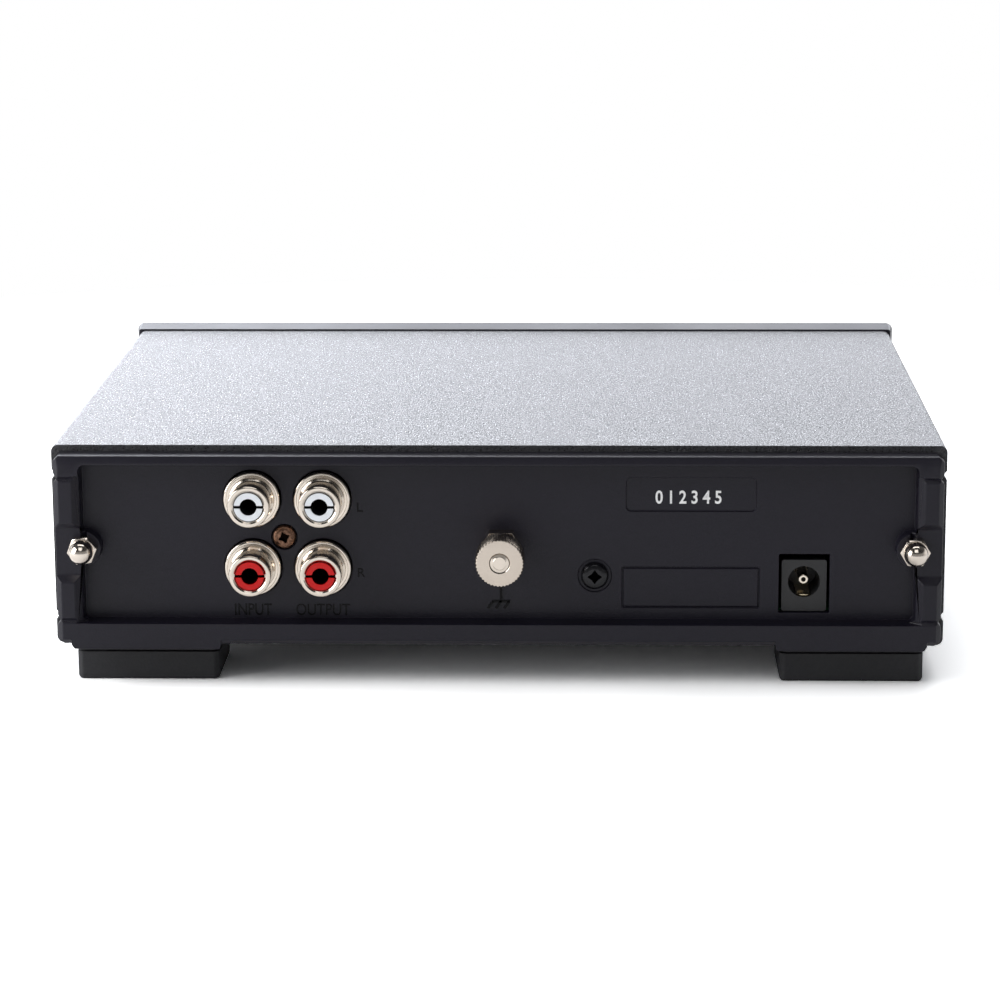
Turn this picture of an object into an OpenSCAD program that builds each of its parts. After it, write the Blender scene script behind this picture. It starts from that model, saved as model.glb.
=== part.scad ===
// Compact phono preamplifier. An extruded sleeve is clamped between a moulded front
// panel and a moulded rear panel by two long tie rods with domed nuts.
// Millimetres. +Z is up, -Y is the front, +Y is the rear, which carries the sockets.
// The origin is the middle of the footprint, on the surface that the feet stand on.

/* [Sleeve] */
// Width of the extruded sleeve
sleeve_w = 177.7; // [172:0.1:240]
// Height of the extruded sleeve
sleeve_h = 40.7; // [40.2:0.1:60]
// Length of the extruded sleeve
sleeve_l = 131; // [120:0.5:220]
// Wall thickness of the sleeve
sleeve_t = 2; // [1.7:0.05:2.3]
// Outer corner radius of the sleeve
sleeve_r = 1.4; // [0.6:0.1:1.6]
// Mouth of the V grooves that run along the sleeve's sides
groove_w = 1.85; // [1:0.05:2.4]
// Depth of those V grooves
groove_d = 0.75; // [0.4:0.05:1]
// Height of a groove above the sleeve's lower edge, and below its upper edge
groove_in = 5.9; // [5:0.1:7]
// How far the ledges that hold the board stand out from the inner wall
ledge_w = 2.2; // [1.5:0.1:2.5]
// Thickness of those ledges
ledge_t = 1.2; // [0.8:0.1:1.5]

/* [Feet] */
// Height of the feet
foot_h = 8.15; // [5:0.05:12]
// Width of a foot
foot_w = 28.8; // [20:0.1:34]
// Length of a foot, front to rear
foot_d = 20; // [14:0.5:40]
// Distance from the sleeve's side to the foot
foot_in = 3.6; // [2:0.1:8]
// Distance from the sleeve's end to the foot
foot_set = 1.7; // [1:0.1:8]
// Chamfer on the upright edges of a foot
foot_c = 1; // [0.4:0.1:2]
// Radius of the peg that holds a foot in the sleeve
peg_r = 3; // [2:0.1:4]
// Height of the barbed head on that peg
peg_head = 1.6; // [1:0.1:2]

/* [Front panel] */
// How far the front panel stands out round the sleeve
lip = 1.15; // [0.8:0.05:2]
// Corner radius of the front panel
lip_r = 1.7; // [0.8:0.1:2.5]
// Depth of the front panel
bezel_d = 13.3; // [12:0.1:16]
// Depth of the straight band behind the front bevel
bezel_band = 4.5; // [3:0.1:6]
// How far the bevel draws the front face in
bezel_in = 4; // [2:0.1:4.5]
// Wall thickness of the front panel
bezel_t = 2.5; // [2:0.1:3]
// Depth of the shallow field in the front face
field_d = 0.5; // [0.2:0.1:0.8]
// Margin between that field and the edge of the front face
field_in = 4; // [3:0.5:8]
// How far the tongues reach into the sleeve
tongue_l = 4; // [2:0.5:6]
// Thickness of those tongues
tongue_t = 1.5; // [1:0.1:1.8]
// Radius of the pillars that carry the inserts for the tie rods
pillar_r = 4.2; // [3.8:0.1:4.6]

/* [Power button] */
// Distance of the button from the sleeve's side
button_in = 18.85; // [15:0.05:40]
// Radius of the push button
button_r = 5; // [4:0.1:5.6]
// How far the button stands out of the front panel
button_out = 1; // [0.8:0.1:3]
// Travel of the button
button_travel = 3; // [2:0.1:3.5]
// Gap between the lamp's centre and the button's centre
lamp_gap = 12; // [10:0.5:20]
// Radius of the indicator lamp
lamp_r = 1.5; // [1:0.1:2.5]
// Width and height of the push switch
switch_w = 12; // [11:0.1:14]
// Length of the push switch
switch_l = 18; // [14:0.5:24]
// Radius of the plunger of the switch
plunger_r = 1.6; // [1.2:0.1:2]

/* [Rear panel] */
// How far the rear panel's outline is drawn in from the sleeve's, at the sides and below
panel_in = 0.9; // [0.6:0.05:1.2]
// How far the rear panel's upper edge lies below the sleeve's
panel_drop = 1.3; // [1:0.05:1.6]
// How far the rim stands out behind the sleeve
rim_out = 5; // [4.5:0.1:6]
// Chamfer down both sides of the rim and along its lower edge
rim_c = 1.1; // [0.6:0.1:1.4]
// Cut across the corners of the rear panel's outline
corner_c = 1.15; // [0.8:0.05:1.6]
// Height of the brow that leans back along the rim's upper edge
brow_h = 1.25; // [0.8:0.05:1.4]
// How far the brow leans back
brow_d = 0.3; // [0.1:0.05:0.5]
// Length of the slanted facet at each upper corner, along the brow
facet_w = 4.3; // [3:0.1:5]
// How far that facet reaches down the rim's side
facet_h = 1.5; // [1:0.1:2]
// How far that facet leans back at the corner
facet_d = 0.5; // [0.4:0.05:0.8]
// Distance of the recessed floor behind the sleeve's end
floor_out = 0.3; // [0.1:0.1:1]
// Thickness of the recessed floor
floor_t = 2.3; // [1.8:0.1:3]
// Width of the rim's face above the recess
rim_top = 1.75; // [1.5:0.05:2.5]
// Width of the rim's face below the recess
rim_low = 4.4; // [3.8:0.05:5]
// Width of the rim at the sides
rim_side = 5.1; // [4.7:0.1:5.4]
// Draft of the recess walls, in degrees
draft = 1; // [0.5:0.5:3]
// Radius of the recess's corners
recess_r = 1.5; // [1:0.1:2]
// How far the lands for the nuts are sunk below the rim's face
land_d = 1.4; // [0.8:0.1:1.8]
// Height of those lands
land_h = 9.5; // [8.6:0.1:12]
// How far the middle of a land sits below the tie rod
land_low = 0.6; // [0:0.1:1]
// Mouth and depth of the V grooves across the rim's face
score_w = 0.55; // [0.3:0.05:0.8]
// Radius of the round boss under a nut
boss_r = 3.5; // [3.3:0.1:4.2]
// Width of the framed pocket for a number
plate_w = 25.8; // [16:0.1:28]
// Height of that pocket
plate_h = 6.8; // [5:0.1:8]
// Corner radius of that pocket
plate_r = 1; // [0.5:0.1:2]
// Depth of that pocket
plate_d = 0.35; // [0.2:0.05:0.6]
// Distance of the pocket's middle from the sleeve's side
plate_in = 50.45; // [49:0.05:52]
// Height of the pocket above the sleeve's lower edge
plate_up = 30.85; // [29:0.05:32]
// Width of the scored frame below it
frame_w = 27.4; // [20:0.1:28]
// Height of that scored frame
frame_h = 8.4; // [5:0.1:10]
// Height of the frame above the sleeve's lower edge
frame_up = 11.85; // [11:0.05:14]
// Width of the frame's line
line_w = 0.3; // [0.2:0.05:0.5]

/* [Tie rods] */
// Radius of the tie rods
rod_r = 1.45; // [1.2:0.05:1.6]
// Distance of a tie rod from the sleeve's side
rod_in = 6.45; // [6.2:0.05:6.8]
// Distance across the flats of a domed nut
dome_af = 5.2; // [5:0.1:6.4]
// How far the nut on the +X side is turned
nut_turn = 8; // [0:1:30]
// Height of the hexagon of a domed nut
dome_hex = 2.4; // [2:0.1:3]
// Radius of the dome
dome_r = 2.35; // [2.1:0.05:2.6]
// Height of the straight part under the dome
dome_neck = 1.2; // [0.6:0.1:2]
// Radius of the threaded inserts in the front panel
insert_r = 2.4; // [2:0.1:2.8]
// Length of those inserts
insert_l = 7; // [5:0.5:9]

/* [Board] */
// Height of the board above the sleeve's inner floor
board_up = 3.25; // [2.6:0.05:4]
// Thickness of the board
board_t = 1.6; // [1.2:0.1:1.6]

/* [Signal sockets] */
// Distance of the middle of the four sockets from the sleeve's side
rca_in = 46.95; // [38:0.05:50]
// Height of the lower row above the board
rca_up = 9; // [8.8:0.1:9.4]
// Spacing of the sockets
rca_pitch = 14; // [13.8:0.1:14.4]
// Radius of the barrel that a plug slides over
barrel_r = 4.15; // [4:0.05:4.3]
// How far the barrel's nose stands out of the floor
barrel_out = 7.8; // [6.5:0.1:9]
// Radius of the collar at the root of the barrel
collar_r = 5.65; // [5.2:0.05:5.9]
// How far the collar stands out of the floor
collar_out = 1.5; // [0.8:0.1:2]
// Radius of the coloured insulator
core_r = 2.85; // [2.6:0.05:3.1]
// How far the insulator sits behind the barrel's nose
core_set = 0.1; // [0.05:0.05:0.5]
// Radius of the hole for the plug's pin
pin_hole_r = 1.68; // [1.6:0.02:1.8]
// Width of the slots in the insulator
slot_w = 0.55; // [0.3:0.05:0.8]
// Depth of those slots
slot_d = 2.5; // [1:0.1:4]
// Depth of the socket housing
housing_d = 12; // [9:0.5:16]
// Radius of the head of the fixing screw
rca_head_r = 2.4; // [2:0.05:2.6]
// How far that screw sits below the middle of the four sockets
rca_screw_low = 0.8; // [0:0.1:1]
// How far that screw sits to the side of the middle
rca_screw_side = 0.7; // [0:0.1:0.8]

/* [Ground terminal] */
// Distance of the terminal from the middle
post_x = 0.65; // [0:0.05:10]
// Height of the terminal above the sleeve's lower edge
post_up = 19.65; // [16:0.05:24]
// Radius of the stud
stud_r = 1.95; // [1.5:0.05:2.2]
// Distance across the flats of the hexagon nut
post_af = 8; // [7:0.1:9]
// Thickness of the hexagon nut
post_nut = 3.2; // [2:0.1:4]
// Opening between the hexagon nut and the washer
clamp_gap = 1.6; // [1.6:0.1:4]
// Thickness of the clamp washer
washer_t = 0.8; // [0.5:0.1:1.2]
// Radius of the clamp washer
washer_r = 4; // [3:0.1:4.6]
// Thickness of the thumb nut
thumb_t = 6.4; // [4:0.1:8]
// Radius of the thumb nut
thumb_r = 4.75; // [4.2:0.05:6]
// Number of ribs in its knurl
knurl_n = 42; // [20:1:60]
// Depth of the knurl
knurl_d = 0.28; // [0.1:0.02:0.4]

/* [Power inlet] */
// Distance of the inlet's axis from the sleeve's side
jack_in = 27.85; // [26:0.05:29]
// Width of the inlet's body
jack_w = 9; // [8:0.1:9.5]
// Height of the inlet's axis above the board
jack_up = 6.1; // [5.6:0.1:7]
// Height of the body above the inlet's axis
jack_top = 4.5; // [4:0.1:5]
// Length of the inlet's body
jack_l = 13.5; // [11:0.5:16]
// Radius of the inlet's hole
jack_hole_r = 3.15; // [2.8:0.05:3.4]
// Radius of the inlet's centre pin
jack_pin_r = 1.05; // [0.6:0.05:1.2]
// Radius of that pin's root, where it is set in the body
jack_root_r = 1.3; // [1.25:0.05:1.6]
// How far the centre pin is set back from the inlet's face
jack_pin_set = 1.8; // [0.5:0.1:3]
// How far the inlet's face is set back from the floor
jack_set = 0.7; // [0.2:0.1:1.5]
// How far the inlet's leaf ends behind its face
leaf_set = 0.85; // [0.6:0.05:2]
// Thickness of that leaf
leaf_t = 0.7; // [0.4:0.1:0.7]
// Gap between the inlet and its window at the sides
window_side = 0.55; // [0.3:0.05:1]
// Gap between the inlet and its window above
window_top = 1.3; // [0.4:0.1:2]

/* [Board bracket] */
// Distance of the bracket from the middle
bracket_x = 19.3; // [16:0.05:21]
// Height of its screw above the board
bracket_up = 7.4; // [6:0.1:9]
// Width of the bracket
bracket_w = 14; // [10:0.5:16]
// Thickness of the bracket
bracket_t = 1.5; // [1:0.1:2]
// Radius of the screw's head
screw_head_r = 2.75; // [2.4:0.05:3.2]

/* [Components] */
// Radius of the reservoir capacitors
tank_r = 6.25; // [5:0.25:7]
// Height of the reservoir capacitors
tank_h = 25; // [16:0.5:26]
// Radius of the signal capacitors
small_r = 3.15; // [2.5:0.05:3.5]
// Height of the signal capacitors
small_h = 11; // [7:0.5:14]
// Length of the film capacitors
film_l = 7.2; // [5:0.1:9]
// Width of the film capacitors
film_w = 4.5; // [2.5:0.1:5]
// Height of the film capacitors
film_h = 8; // [5:0.5:12]
// Length of the resistors
resistor_l = 6.5; // [4:0.1:7]
// Radius of the resistors
resistor_r = 1.15; // [0.8:0.05:1.3]
// Length of the diodes
diode_l = 8; // [5:0.5:9]
// Radius of the diodes
diode_r = 2.2; // [1.5:0.1:2.5]
// Width of the heat sinks
sink_w = 18; // [14:0.5:20]
// Depth of the heat sinks
sink_d = 11; // [7:0.5:12]
// Height of the heat sinks
sink_h = 22; // [15:0.5:25]
// Wall of the heat sinks
sink_t = 1.6; // [1:0.1:2]
// Width of the regulators
regulator_w = 10; // [8:0.1:10.5]
// Radius of the transistors
transistor_r = 2.4; // [2:0.1:2.5]
// Length of the amplifier chips
chip_l = 9.6; // [9:0.1:10]
// Width of the amplifier chips
chip_w = 6.4; // [6:0.1:6.6]

/* [Board layout] */
// Place of the first reservoir capacitor, from the middle
tank_x = 22; // [21:0.5:24]
// How far the reservoir capacitors stand in front of the middle
tank_y = 12; // [11.5:0.5:14]
// Gap between two reservoir capacitors
tank_gap = 1.5; // [1:0.1:2]
// Place of the first column of signal parts, from the middle
signal_x = 16; // [15:0.5:18]
// Spacing of the columns of signal parts
signal_pitch = 15; // [14:0.5:15]
// Place of the front row of signal capacitors, in front of the middle
small_y = 36; // [35.5:0.5:36.5]
// Spacing of the two rows of signal capacitors
small_pitch = 22; // [21.5:0.5:22.5]
// Place of the first row of film capacitors, behind the middle
film_y = 10; // [8:0.5:12]
// Spacing of the two rows of film capacitors
film_pitch = 14; // [10:0.5:16]
// Place of the first amplifier chip, from the middle
chip_x = 24; // [23:0.5:25]
// Spacing of the amplifier chips
chip_pitch = 30; // [28:0.5:32]
// Place of the amplifier chips, in front of the middle
chip_y = 25; // [24.5:0.5:25.5]
// Place of the first transistor, from the middle
transistor_x = 14; // [12:0.5:16]
// Spacing of the transistors along the board
transistor_pitch = 16; // [12:0.5:17]
// Place of the front row of transistors, in front of the middle
transistor_y = 53; // [52:0.5:54]
// Spacing of the two rows of transistors
transistor_row = 8.5; // [7:0.5:9]
// Place of the first regulator, from the middle
regulator_x = 20; // [19:0.5:22]
// Spacing of the regulators
regulator_pitch = 24; // [22:0.5:26]
// Place of the regulators, behind the middle
regulator_y = 8; // [7:0.5:9]
// Place of the first diode, from the middle
diode_x = 36; // [34:0.5:37]
// Spacing of the diodes
diode_pitch = 8; // [6:0.5:8.5]
// Place of the diodes, behind the middle
diode_y = 26; // [24:0.5:28]
// Place of the first resistor, from the middle
resistor_x = 8; // [6:0.5:8]
// Spacing of the resistors
resistor_pitch = 6.6; // [4:0.1:6.8]
// Place of the signal resistors, behind the middle
resistor_y = 38; // [36:0.5:40]
// Place of the supply resistors, in front of the middle
supply_y = 40; // [38:0.5:42]

/* [Clearances] */
// Radial clearance of a thread, and of the plunger
thread_gap = 0.05; // [0.02:0.01:0.08]
// Radial clearance of the button in its bore
slide_gap = 0.1; // [0.05:0.01:0.1]
// Clearance of a screw or rod in its hole
hole_gap = 0.2; // [0.1:0.05:0.4]
// Clearance of what plugs into the sleeve
fit_gap = 0.15; // [0.05:0.05:0.25]
// Clearance round the collars of the sockets
collar_gap = 0.2; // [0.1:0.05:0.3]

/* [Hidden] */
$fn = 48;
EPS = 1;

// Heights
z_low = foot_h;
z_high = foot_h + sleeve_h;
z_mid = foot_h + sleeve_h / 2;
z_floor = foot_h + sleeve_t;
z_roof = z_high - sleeve_t;
z_board = z_floor + board_up;
z_top = z_board + board_t;
z_groove_low = z_low + groove_in;
z_groove_high = z_high - groove_in;
z_switch = z_top + switch_w / 2;

// Lengths, from the front to the rear
post_out = post_nut + clamp_gap + washer_t + thumb_t;
depth = button_out + bezel_d + sleeve_l + floor_out + post_out;
y_button = -depth / 2;
y_bezel = y_button + button_out;
y_front = y_bezel + bezel_d;
y_rear = y_front + sleeve_l;
y_floor = y_rear + floor_out;
y_back = y_floor - floor_t;
y_rim = y_rear + rim_out;
y_land = y_rim - land_d;
y_guide = y_bezel + bezel_t + 3;
y_switch = y_front + tongue_l - 1;
y_board_rear = y_back - 0.5;
y_board_front = y_front + 2.3;

// Half widths
half = sleeve_w / 2;
half_in = half - sleeve_t;
half_panel = half - panel_in;
half_recess = half_panel - rim_side;
half_plug = half_in - ledge_w - 0.35;
half_front = half + lip;
rod_x = half - rod_in;
button_x = half - button_in;
plate_x = half - plate_in;
rca_x = half - rca_in;
jack_x = half - jack_in;

// Front panel
bezel_low = z_low - lip;
bezel_high = z_high + lip;
cavity_in = 1.5;

// Rear panel
panel_low = z_low + panel_in;
panel_high = z_high - panel_drop;
z_land = z_mid - land_low;
z_plate = z_low + plate_up;
z_frame = z_low + frame_up;
draft_in = rim_out * tan(draft);
apron_slope = 0.6;

// Sockets, terminal and inlet
z_rca_low = z_top + rca_up;
z_rca_high = z_rca_low + rca_pitch;
z_rca_screw = z_rca_low + rca_pitch / 2 - rca_screw_low;
x_rca_screw = rca_x + rca_screw_side;
z_post = z_low + post_up;
z_jack = z_top + jack_up;
y_jack = y_floor - jack_set;
y_hole = y_jack - jack_l * 0.7;
y_root = y_jack - jack_l * 0.85;
z_leaf = z_jack - jack_hole_r - 0.4;
leaf_w = 2.9;
z_screw = z_top + bracket_up;
housing_half = rca_pitch / 2 + 6.9;
window_low = z_top - 0.15;

// Feet: the middle of each, and the wire that component leads are made of
foot_x = half - foot_in - foot_w / 2;
foot_y_front = y_front + foot_set + foot_d / 2;
foot_y_rear = y_rear - foot_set - foot_d / 2;
foot_near = foot_x - foot_w / 2 - 2 * apron_slope;
foot_far = foot_x + foot_w / 2;
lead_r = 0.3;

// ---------------------------------------------------------------- helpers

// An outline of X and Z, made solid from y0 to y1
module along_y(y0, y1) {
    translate([0, y1, 0]) rotate([90, 0, 0]) linear_extrude(y1 - y0) children();
}

// An outline of Y and Z, made solid from x0 to x1
module along_x(x0, x1) {
    translate([x0, 0, 0]) rotate([90, 0, 90]) linear_extrude(x1 - x0) children();
}

// An outline of X and Y, made solid from z0 to z1
module along_z(z0, z1) {
    translate([0, 0, z0]) linear_extrude(z1 - z0) children();
}

// A round bar along Y
module bar(x, z, r, y0, y1) {
    translate([x, y0, z]) rotate([-90, 0, 0]) cylinder(r = r, h = y1 - y0);
}

// A six-sided bar along Y, with flats above and below
module hex_bar(x, z, af, y0, y1, turn = 0) {
    translate([x, y0, z]) rotate([-90, 0, 0]) rotate([0, 0, turn])
        cylinder(d = af / cos(30), h = y1 - y0, $fn = 6);
}

// A profile of radius and length, turned about a line along Y that starts at y
module turned(x, y, z) {
    translate([x, y, z]) rotate([-90, 0, 0]) rotate_extrude() children();
}

// A rectangle from one corner to the other
module span(low, high) {
    translate(low) square([high[0] - low[0], high[1] - low[1]]);
}

// A rectangle with round corners, from one corner to the other
module round_span(low, high, r) {
    span([low[0] + r, low[1]], [high[0] - r, high[1]]);
    span([low[0], low[1] + r], [high[0], high[1] - r]);
    for (x = [low[0] + r, high[0] - r], z = [low[1] + r, high[1] - r]) translate([x, z]) circle(r);
}

// A rectangle with cut corners, from one corner to the other
module cut_span(low, high, c) {
    polygon([
        [low[0] + c, low[1]], [high[0] - c, low[1]], [high[0], low[1] + c], [high[0], high[1] - c],
        [high[0] - c, high[1]], [low[0] + c, high[1]], [low[0], high[1] - c], [low[0], low[1] + c]
    ]);
}

// A V notch in the side of an outline whose half width is w
module side_notches(w) {
    reach = 2;
    rise = groove_w / 2 * (groove_d + reach) / groove_d;
    for (s = [-1, 1], z = [z_groove_low, z_groove_high])
        polygon([[s * (w - groove_d), z], [s * (w + reach), z + rise], [s * (w + reach), z - rise]]);
}

// The places of the four sockets: X, then Z
function rca_at(column, row) = [rca_x + column * rca_pitch / 2, row > 0 ? z_rca_high : z_rca_low];

// ---------------------------------------------------------------- case

module case_sleeve() color("#33353a") difference() {
    along_y(y_front, y_rear) difference() {
        round_span([-half, z_low], [half, z_high], sleeve_r);
        side_notches(half);
        difference() {
            round_span([-half_in, z_floor], [half_in, z_roof], sleeve_r / 2);
            sleeve_ledges();
        }
    }
    for (x = [-foot_x, foot_x], y = [foot_y_front, foot_y_rear])
        translate([x, y, z_low - EPS]) cylinder(r = peg_r + fit_gap, h = sleeve_t + 2 * EPS);
}

// The ledges that the board slides between, and a rib behind each upper groove
module sleeve_ledges() {
    for (s = [-1, 1]) scale([s, 1]) {
        span([half_in - ledge_w, z_board - ledge_t], [half_in + EPS / 2, z_board]);
        span([half_in - ledge_w, z_top + fit_gap], [half_in + EPS / 2, z_top + fit_gap + ledge_t]);
        span([half_in - groove_d, z_groove_high - groove_w], [half_in + EPS / 2, z_groove_high + groove_w]);
    }
}

module front_panel() color("#1b1c1f") difference() {
    union() {
        difference() {
            bezel_block();
            along_y(y_bezel + bezel_t, y_front + EPS)
                span([-half_in + cavity_in, z_floor + cavity_in], [half_in - cavity_in, z_roof - cavity_in]);
        }
        bezel_tongues();
        for (s = [-1, 1]) bar(s * rod_x, z_mid, pillar_r, y_bezel + bezel_t - EPS / 2, y_front);
        bar(-button_x, z_switch, button_r + 1.8, y_bezel + bezel_t - EPS / 2, y_guide);
    }
    for (s = [-1, 1]) bar(s * rod_x, z_mid, insert_r, y_front - insert_l, y_front + EPS);
    bar(-button_x, z_switch, button_r + slide_gap, y_bezel - EPS, y_guide + EPS);
    bar(lamp_gap - button_x, z_switch, lamp_r + thread_gap, y_bezel - EPS, y_bezel + bezel_t + EPS);
}

// A straight band behind four bevels, with a shallow field in the front face
module bezel_block() {
    bevel_y = y_front - bezel_band;
    difference() {
        along_y(y_bezel, y_front)
            round_span([-half_front, bezel_low], [half_front, bezel_high], lip_r);
        along_x(-half_front - EPS, half_front + EPS) {
            bevel_cut(bevel_y, bezel_high, 1);
            bevel_cut(bevel_y, bezel_low, -1);
        }
        for (s = [-1, 1]) along_z(bezel_low - EPS, bezel_high + EPS)
            polygon([
                [s * half_front, bevel_y], [s * (half_front - bezel_in), y_bezel],
                [s * (half_front + bezel_in), y_bezel - bezel_in]
            ]);
        along_y(y_bezel - EPS, y_bezel + field_d)
            round_span(
                [-half_front + bezel_in + field_in, bezel_low + bezel_in + field_in],
                [half_front - bezel_in - field_in, bezel_high - bezel_in - field_in], lip_r);
    }
}

// What the bevel takes off the edge at height z, on the side that s points to
module bevel_cut(bevel_y, z, s) {
    polygon([[bevel_y, z], [y_bezel, z - s * bezel_in], [y_bezel - bezel_in, z + s * bezel_in]]);
}

// Flat tongues that locate the front panel inside the sleeve's mouth
module bezel_tongues() {
    reach = half_in * 0.8;
    along_y(y_front - EPS, y_front + tongue_l) {
        span([-reach, z_roof - fit_gap - tongue_t], [reach, z_roof - fit_gap]);
        span([-reach, z_floor + fit_gap], [reach, z_floor + fit_gap + tongue_t]);
    }
}

// ---------------------------------------------------------------- rear panel

module rear_panel() color("#1d1e21") difference() {
    union() {
        difference() {
            rim_block();
            rim_recess();
        }
        along_y(y_back, y_floor) span([-half_plug, z_floor + fit_gap], [half_plug, z_roof - fit_gap]);
        for (s = [-1, 1]) bar(s * rod_x, z_mid, boss_r, y_floor - EPS, y_land);
    }
    side_lands();
    panel_holes();
    floor_marks();
}

// The rim's outline, with its chamfers, its brow and the facets at its upper corners
module rim_block() {
    difference() {
        along_y(y_rear, y_rim) difference() {
            union() {
                cut_span([-half_panel, panel_low], [half_panel, panel_high], corner_c);
                foot_aprons();
            }
            side_notches(half_panel);
        }
        along_x(-half, half)
            polygon([
                [y_rim - 2 * brow_d, panel_high + brow_h], [y_rim + brow_d, panel_high - 2 * brow_h],
                [y_rim + 3 * brow_h, panel_high + brow_h]
            ]);
        for (s = [-1, 1]) along_z(panel_low - EPS - panel_in, panel_high + EPS)
            polygon([
                [s * half_panel, y_rim - rim_c], [s * (half_panel - rim_c), y_rim],
                [s * (half_panel + 3), y_rim + 3]
            ]);
        lower_chamfer(-foot_near, foot_near);
        for (s = [-1, 1]) {
            lower_chamfer(min(s * foot_far, s * half), max(s * foot_far, s * half));
            brow_facet(s);
        }
    }
}

// The panel runs down to the sleeve's lower edge over each foot
module foot_aprons() {
    for (s = [-1, 1]) scale([s, 1])
        polygon([
            [foot_near, panel_low], [foot_near + apron_slope / 2, z_low],
            [foot_far - apron_slope, z_low], [foot_far, panel_low], [foot_x, panel_low + EPS]
        ]);
}

// The chamfer along the lower edge, between the aprons and beyond them
module lower_chamfer(x0, x1) {
    along_x(x0, x1)
        polygon([[y_rim - rim_c, panel_low], [y_rim, panel_low + rim_c], [y_rim + 3, panel_low - 3]]);
}

// A shallow plane across an upper corner of the rim's face
module brow_facet(s) {
    slope = facet_h / facet_w;
    lean = (facet_h + brow_h) / facet_d;
    length = sqrt(1 + slope * slope + lean * lean);
    size = 4 * facet_w;
    translate([s * (half_panel - facet_w), y_rim, panel_high - brow_h])
        rotate([0, acos(1 / length), atan2(lean, s * slope)])
        translate([-size / 2, -size / 2, 0]) cube(size);
}

// The drafted recess: prisms give its upper and lower walls, its sides and its corners
module rim_recess() {
    low = panel_low + rim_low;
    high = panel_high - rim_top;
    top = draft_in / rim_out;
    intersection() {
        along_x(-half, half)
            polygon([
                [y_rear, low + draft_in], [y_rear, high - draft_in],
                [y_rim + EPS, high + top], [y_rim + EPS, low - top]
            ]);
        along_z(0, z_high)
            polygon([
                [-half_recess + draft_in, y_rear], [half_recess - draft_in, y_rear],
                [half_recess + top, y_rim + EPS], [-half_recess - top, y_rim + EPS]
            ]);
        along_y(y_rear - EPS, y_rim + 2 * EPS)
            round_span([-half_recess - top, low - top], [half_recess + top, high + top], recess_r);
    }
}

// Sunk lands for the nuts, bevels along the raised pads, and the scored V lines
module side_lands() {
    wide = land_d + EPS;
    for (s = [-1, 1]) mirror([s < 0 ? 1 : 0, 0, 0]) {
        along_x(half_recess - EPS, half + EPS)
            polygon([
                [y_land, z_land - land_h / 2], [y_land, z_land + land_h / 2],
                [y_rim + EPS, z_land + land_h / 2 + wide], [y_rim + EPS, z_land - land_h / 2 - wide]
            ]);
        along_z(z_groove_low - score_w, z_groove_high + score_w)
            polygon([
                [half_recess - EPS, y_land - EPS + draft_in / 4], [half_recess + wide, y_rim + EPS],
                [half_recess - 2 * EPS, y_rim + EPS]
            ]);
        for (z = [z_groove_low, z_groove_high]) along_x(half_recess - EPS, half + EPS)
            polygon([
                [y_rim - score_w, z], [y_rim + EPS, z + score_w + EPS],
                [y_rim + EPS, z - score_w - EPS]
            ]);
    }
}

module panel_holes() {
    for (column = [-1, 1], row = [-1, 1])
        bar(rca_at(column, row)[0], rca_at(column, row)[1], collar_r + collar_gap, y_back - EPS, y_rim);
    for (s = [-1, 1]) bar(s * rod_x, z_mid, rod_r + hole_gap, y_back - EPS, y_rim);
    bar(x_rca_screw, z_rca_screw, screw_shaft(rca_head_r) + hole_gap, y_back - EPS, y_rim);
    bar(x_rca_screw, z_rca_screw, rca_head_r + hole_gap, y_floor - 0.6, y_rim);
    bar(-post_x, z_post, stud_r + hole_gap, y_back - EPS, y_rim);
    bar(-bracket_x, z_screw, screw_shaft(screw_head_r) + hole_gap, y_back - EPS, y_rim);
    bar(-bracket_x, z_screw, screw_head_r + 3 * hole_gap, y_floor - 0.3, y_rim);
    along_y(y_back - EPS, y_rim)
        span(
            [-jack_x - jack_w / 2 - window_side, window_low],
            [-jack_x + jack_w / 2 + window_side, z_jack + jack_top + window_top]);
}

// The framed pocket for a number, and an empty scored frame below it
module floor_marks() {
    along_y(y_floor - plate_d, y_rim)
        round_span(
            [-plate_x - plate_w / 2, z_plate - plate_h / 2],
            [-plate_x + plate_w / 2, z_plate + plate_h / 2], plate_r);
    along_y(y_floor - line_w, y_rim) difference() {
        span(
            [-plate_x - frame_w / 2, z_frame - frame_h / 2],
            [-plate_x + frame_w / 2, z_frame + frame_h / 2]);
        span(
            [-plate_x - frame_w / 2 + line_w, z_frame - frame_h / 2 + line_w],
            [-plate_x + frame_w / 2 - line_w, z_frame + frame_h / 2 - line_w]);
    }
}

// The shaft of a screw, from the radius of its head
function screw_shaft(head) = head * 0.53;

// ---------------------------------------------------------------- tie rods and feet

module tie_rods() color("#b9bbbd") {
    for (s = [-1, 1]) bar(s * rod_x, z_mid, rod_r, y_front - insert_l, y_land + dome_hex + dome_neck);
}

module domed_nuts() color("#d8d4cc") {
    domed_nut(rod_x, y_land, z_mid, nut_turn);
    domed_nut(-rod_x, y_land, z_mid, 0);
}

// A hexagon with a turned crown, and a blind bore for the rod
module domed_nut(x, y, z, turn) {
    corner = dome_af / cos(30) / 2;
    difference() {
        union() {
            intersection() {
                hex_bar(x, z, dome_af, y, y + dome_hex, turn);
                turned(x, y, z)
                    polygon([
                        [0, 0], [corner + EPS, 0], [corner + EPS, dome_hex - EPS * 0.8],
                        [dome_af / 2 - 0.1, dome_hex], [0, dome_hex]
                    ]);
            }
            bar(x, z, dome_r, y + EPS, y + dome_hex + dome_neck);
            translate([x, y + dome_hex + dome_neck, z]) sphere(dome_r);
        }
        bar(x, z, rod_r, y - EPS, y + dome_hex + dome_neck);
    }
}

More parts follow.
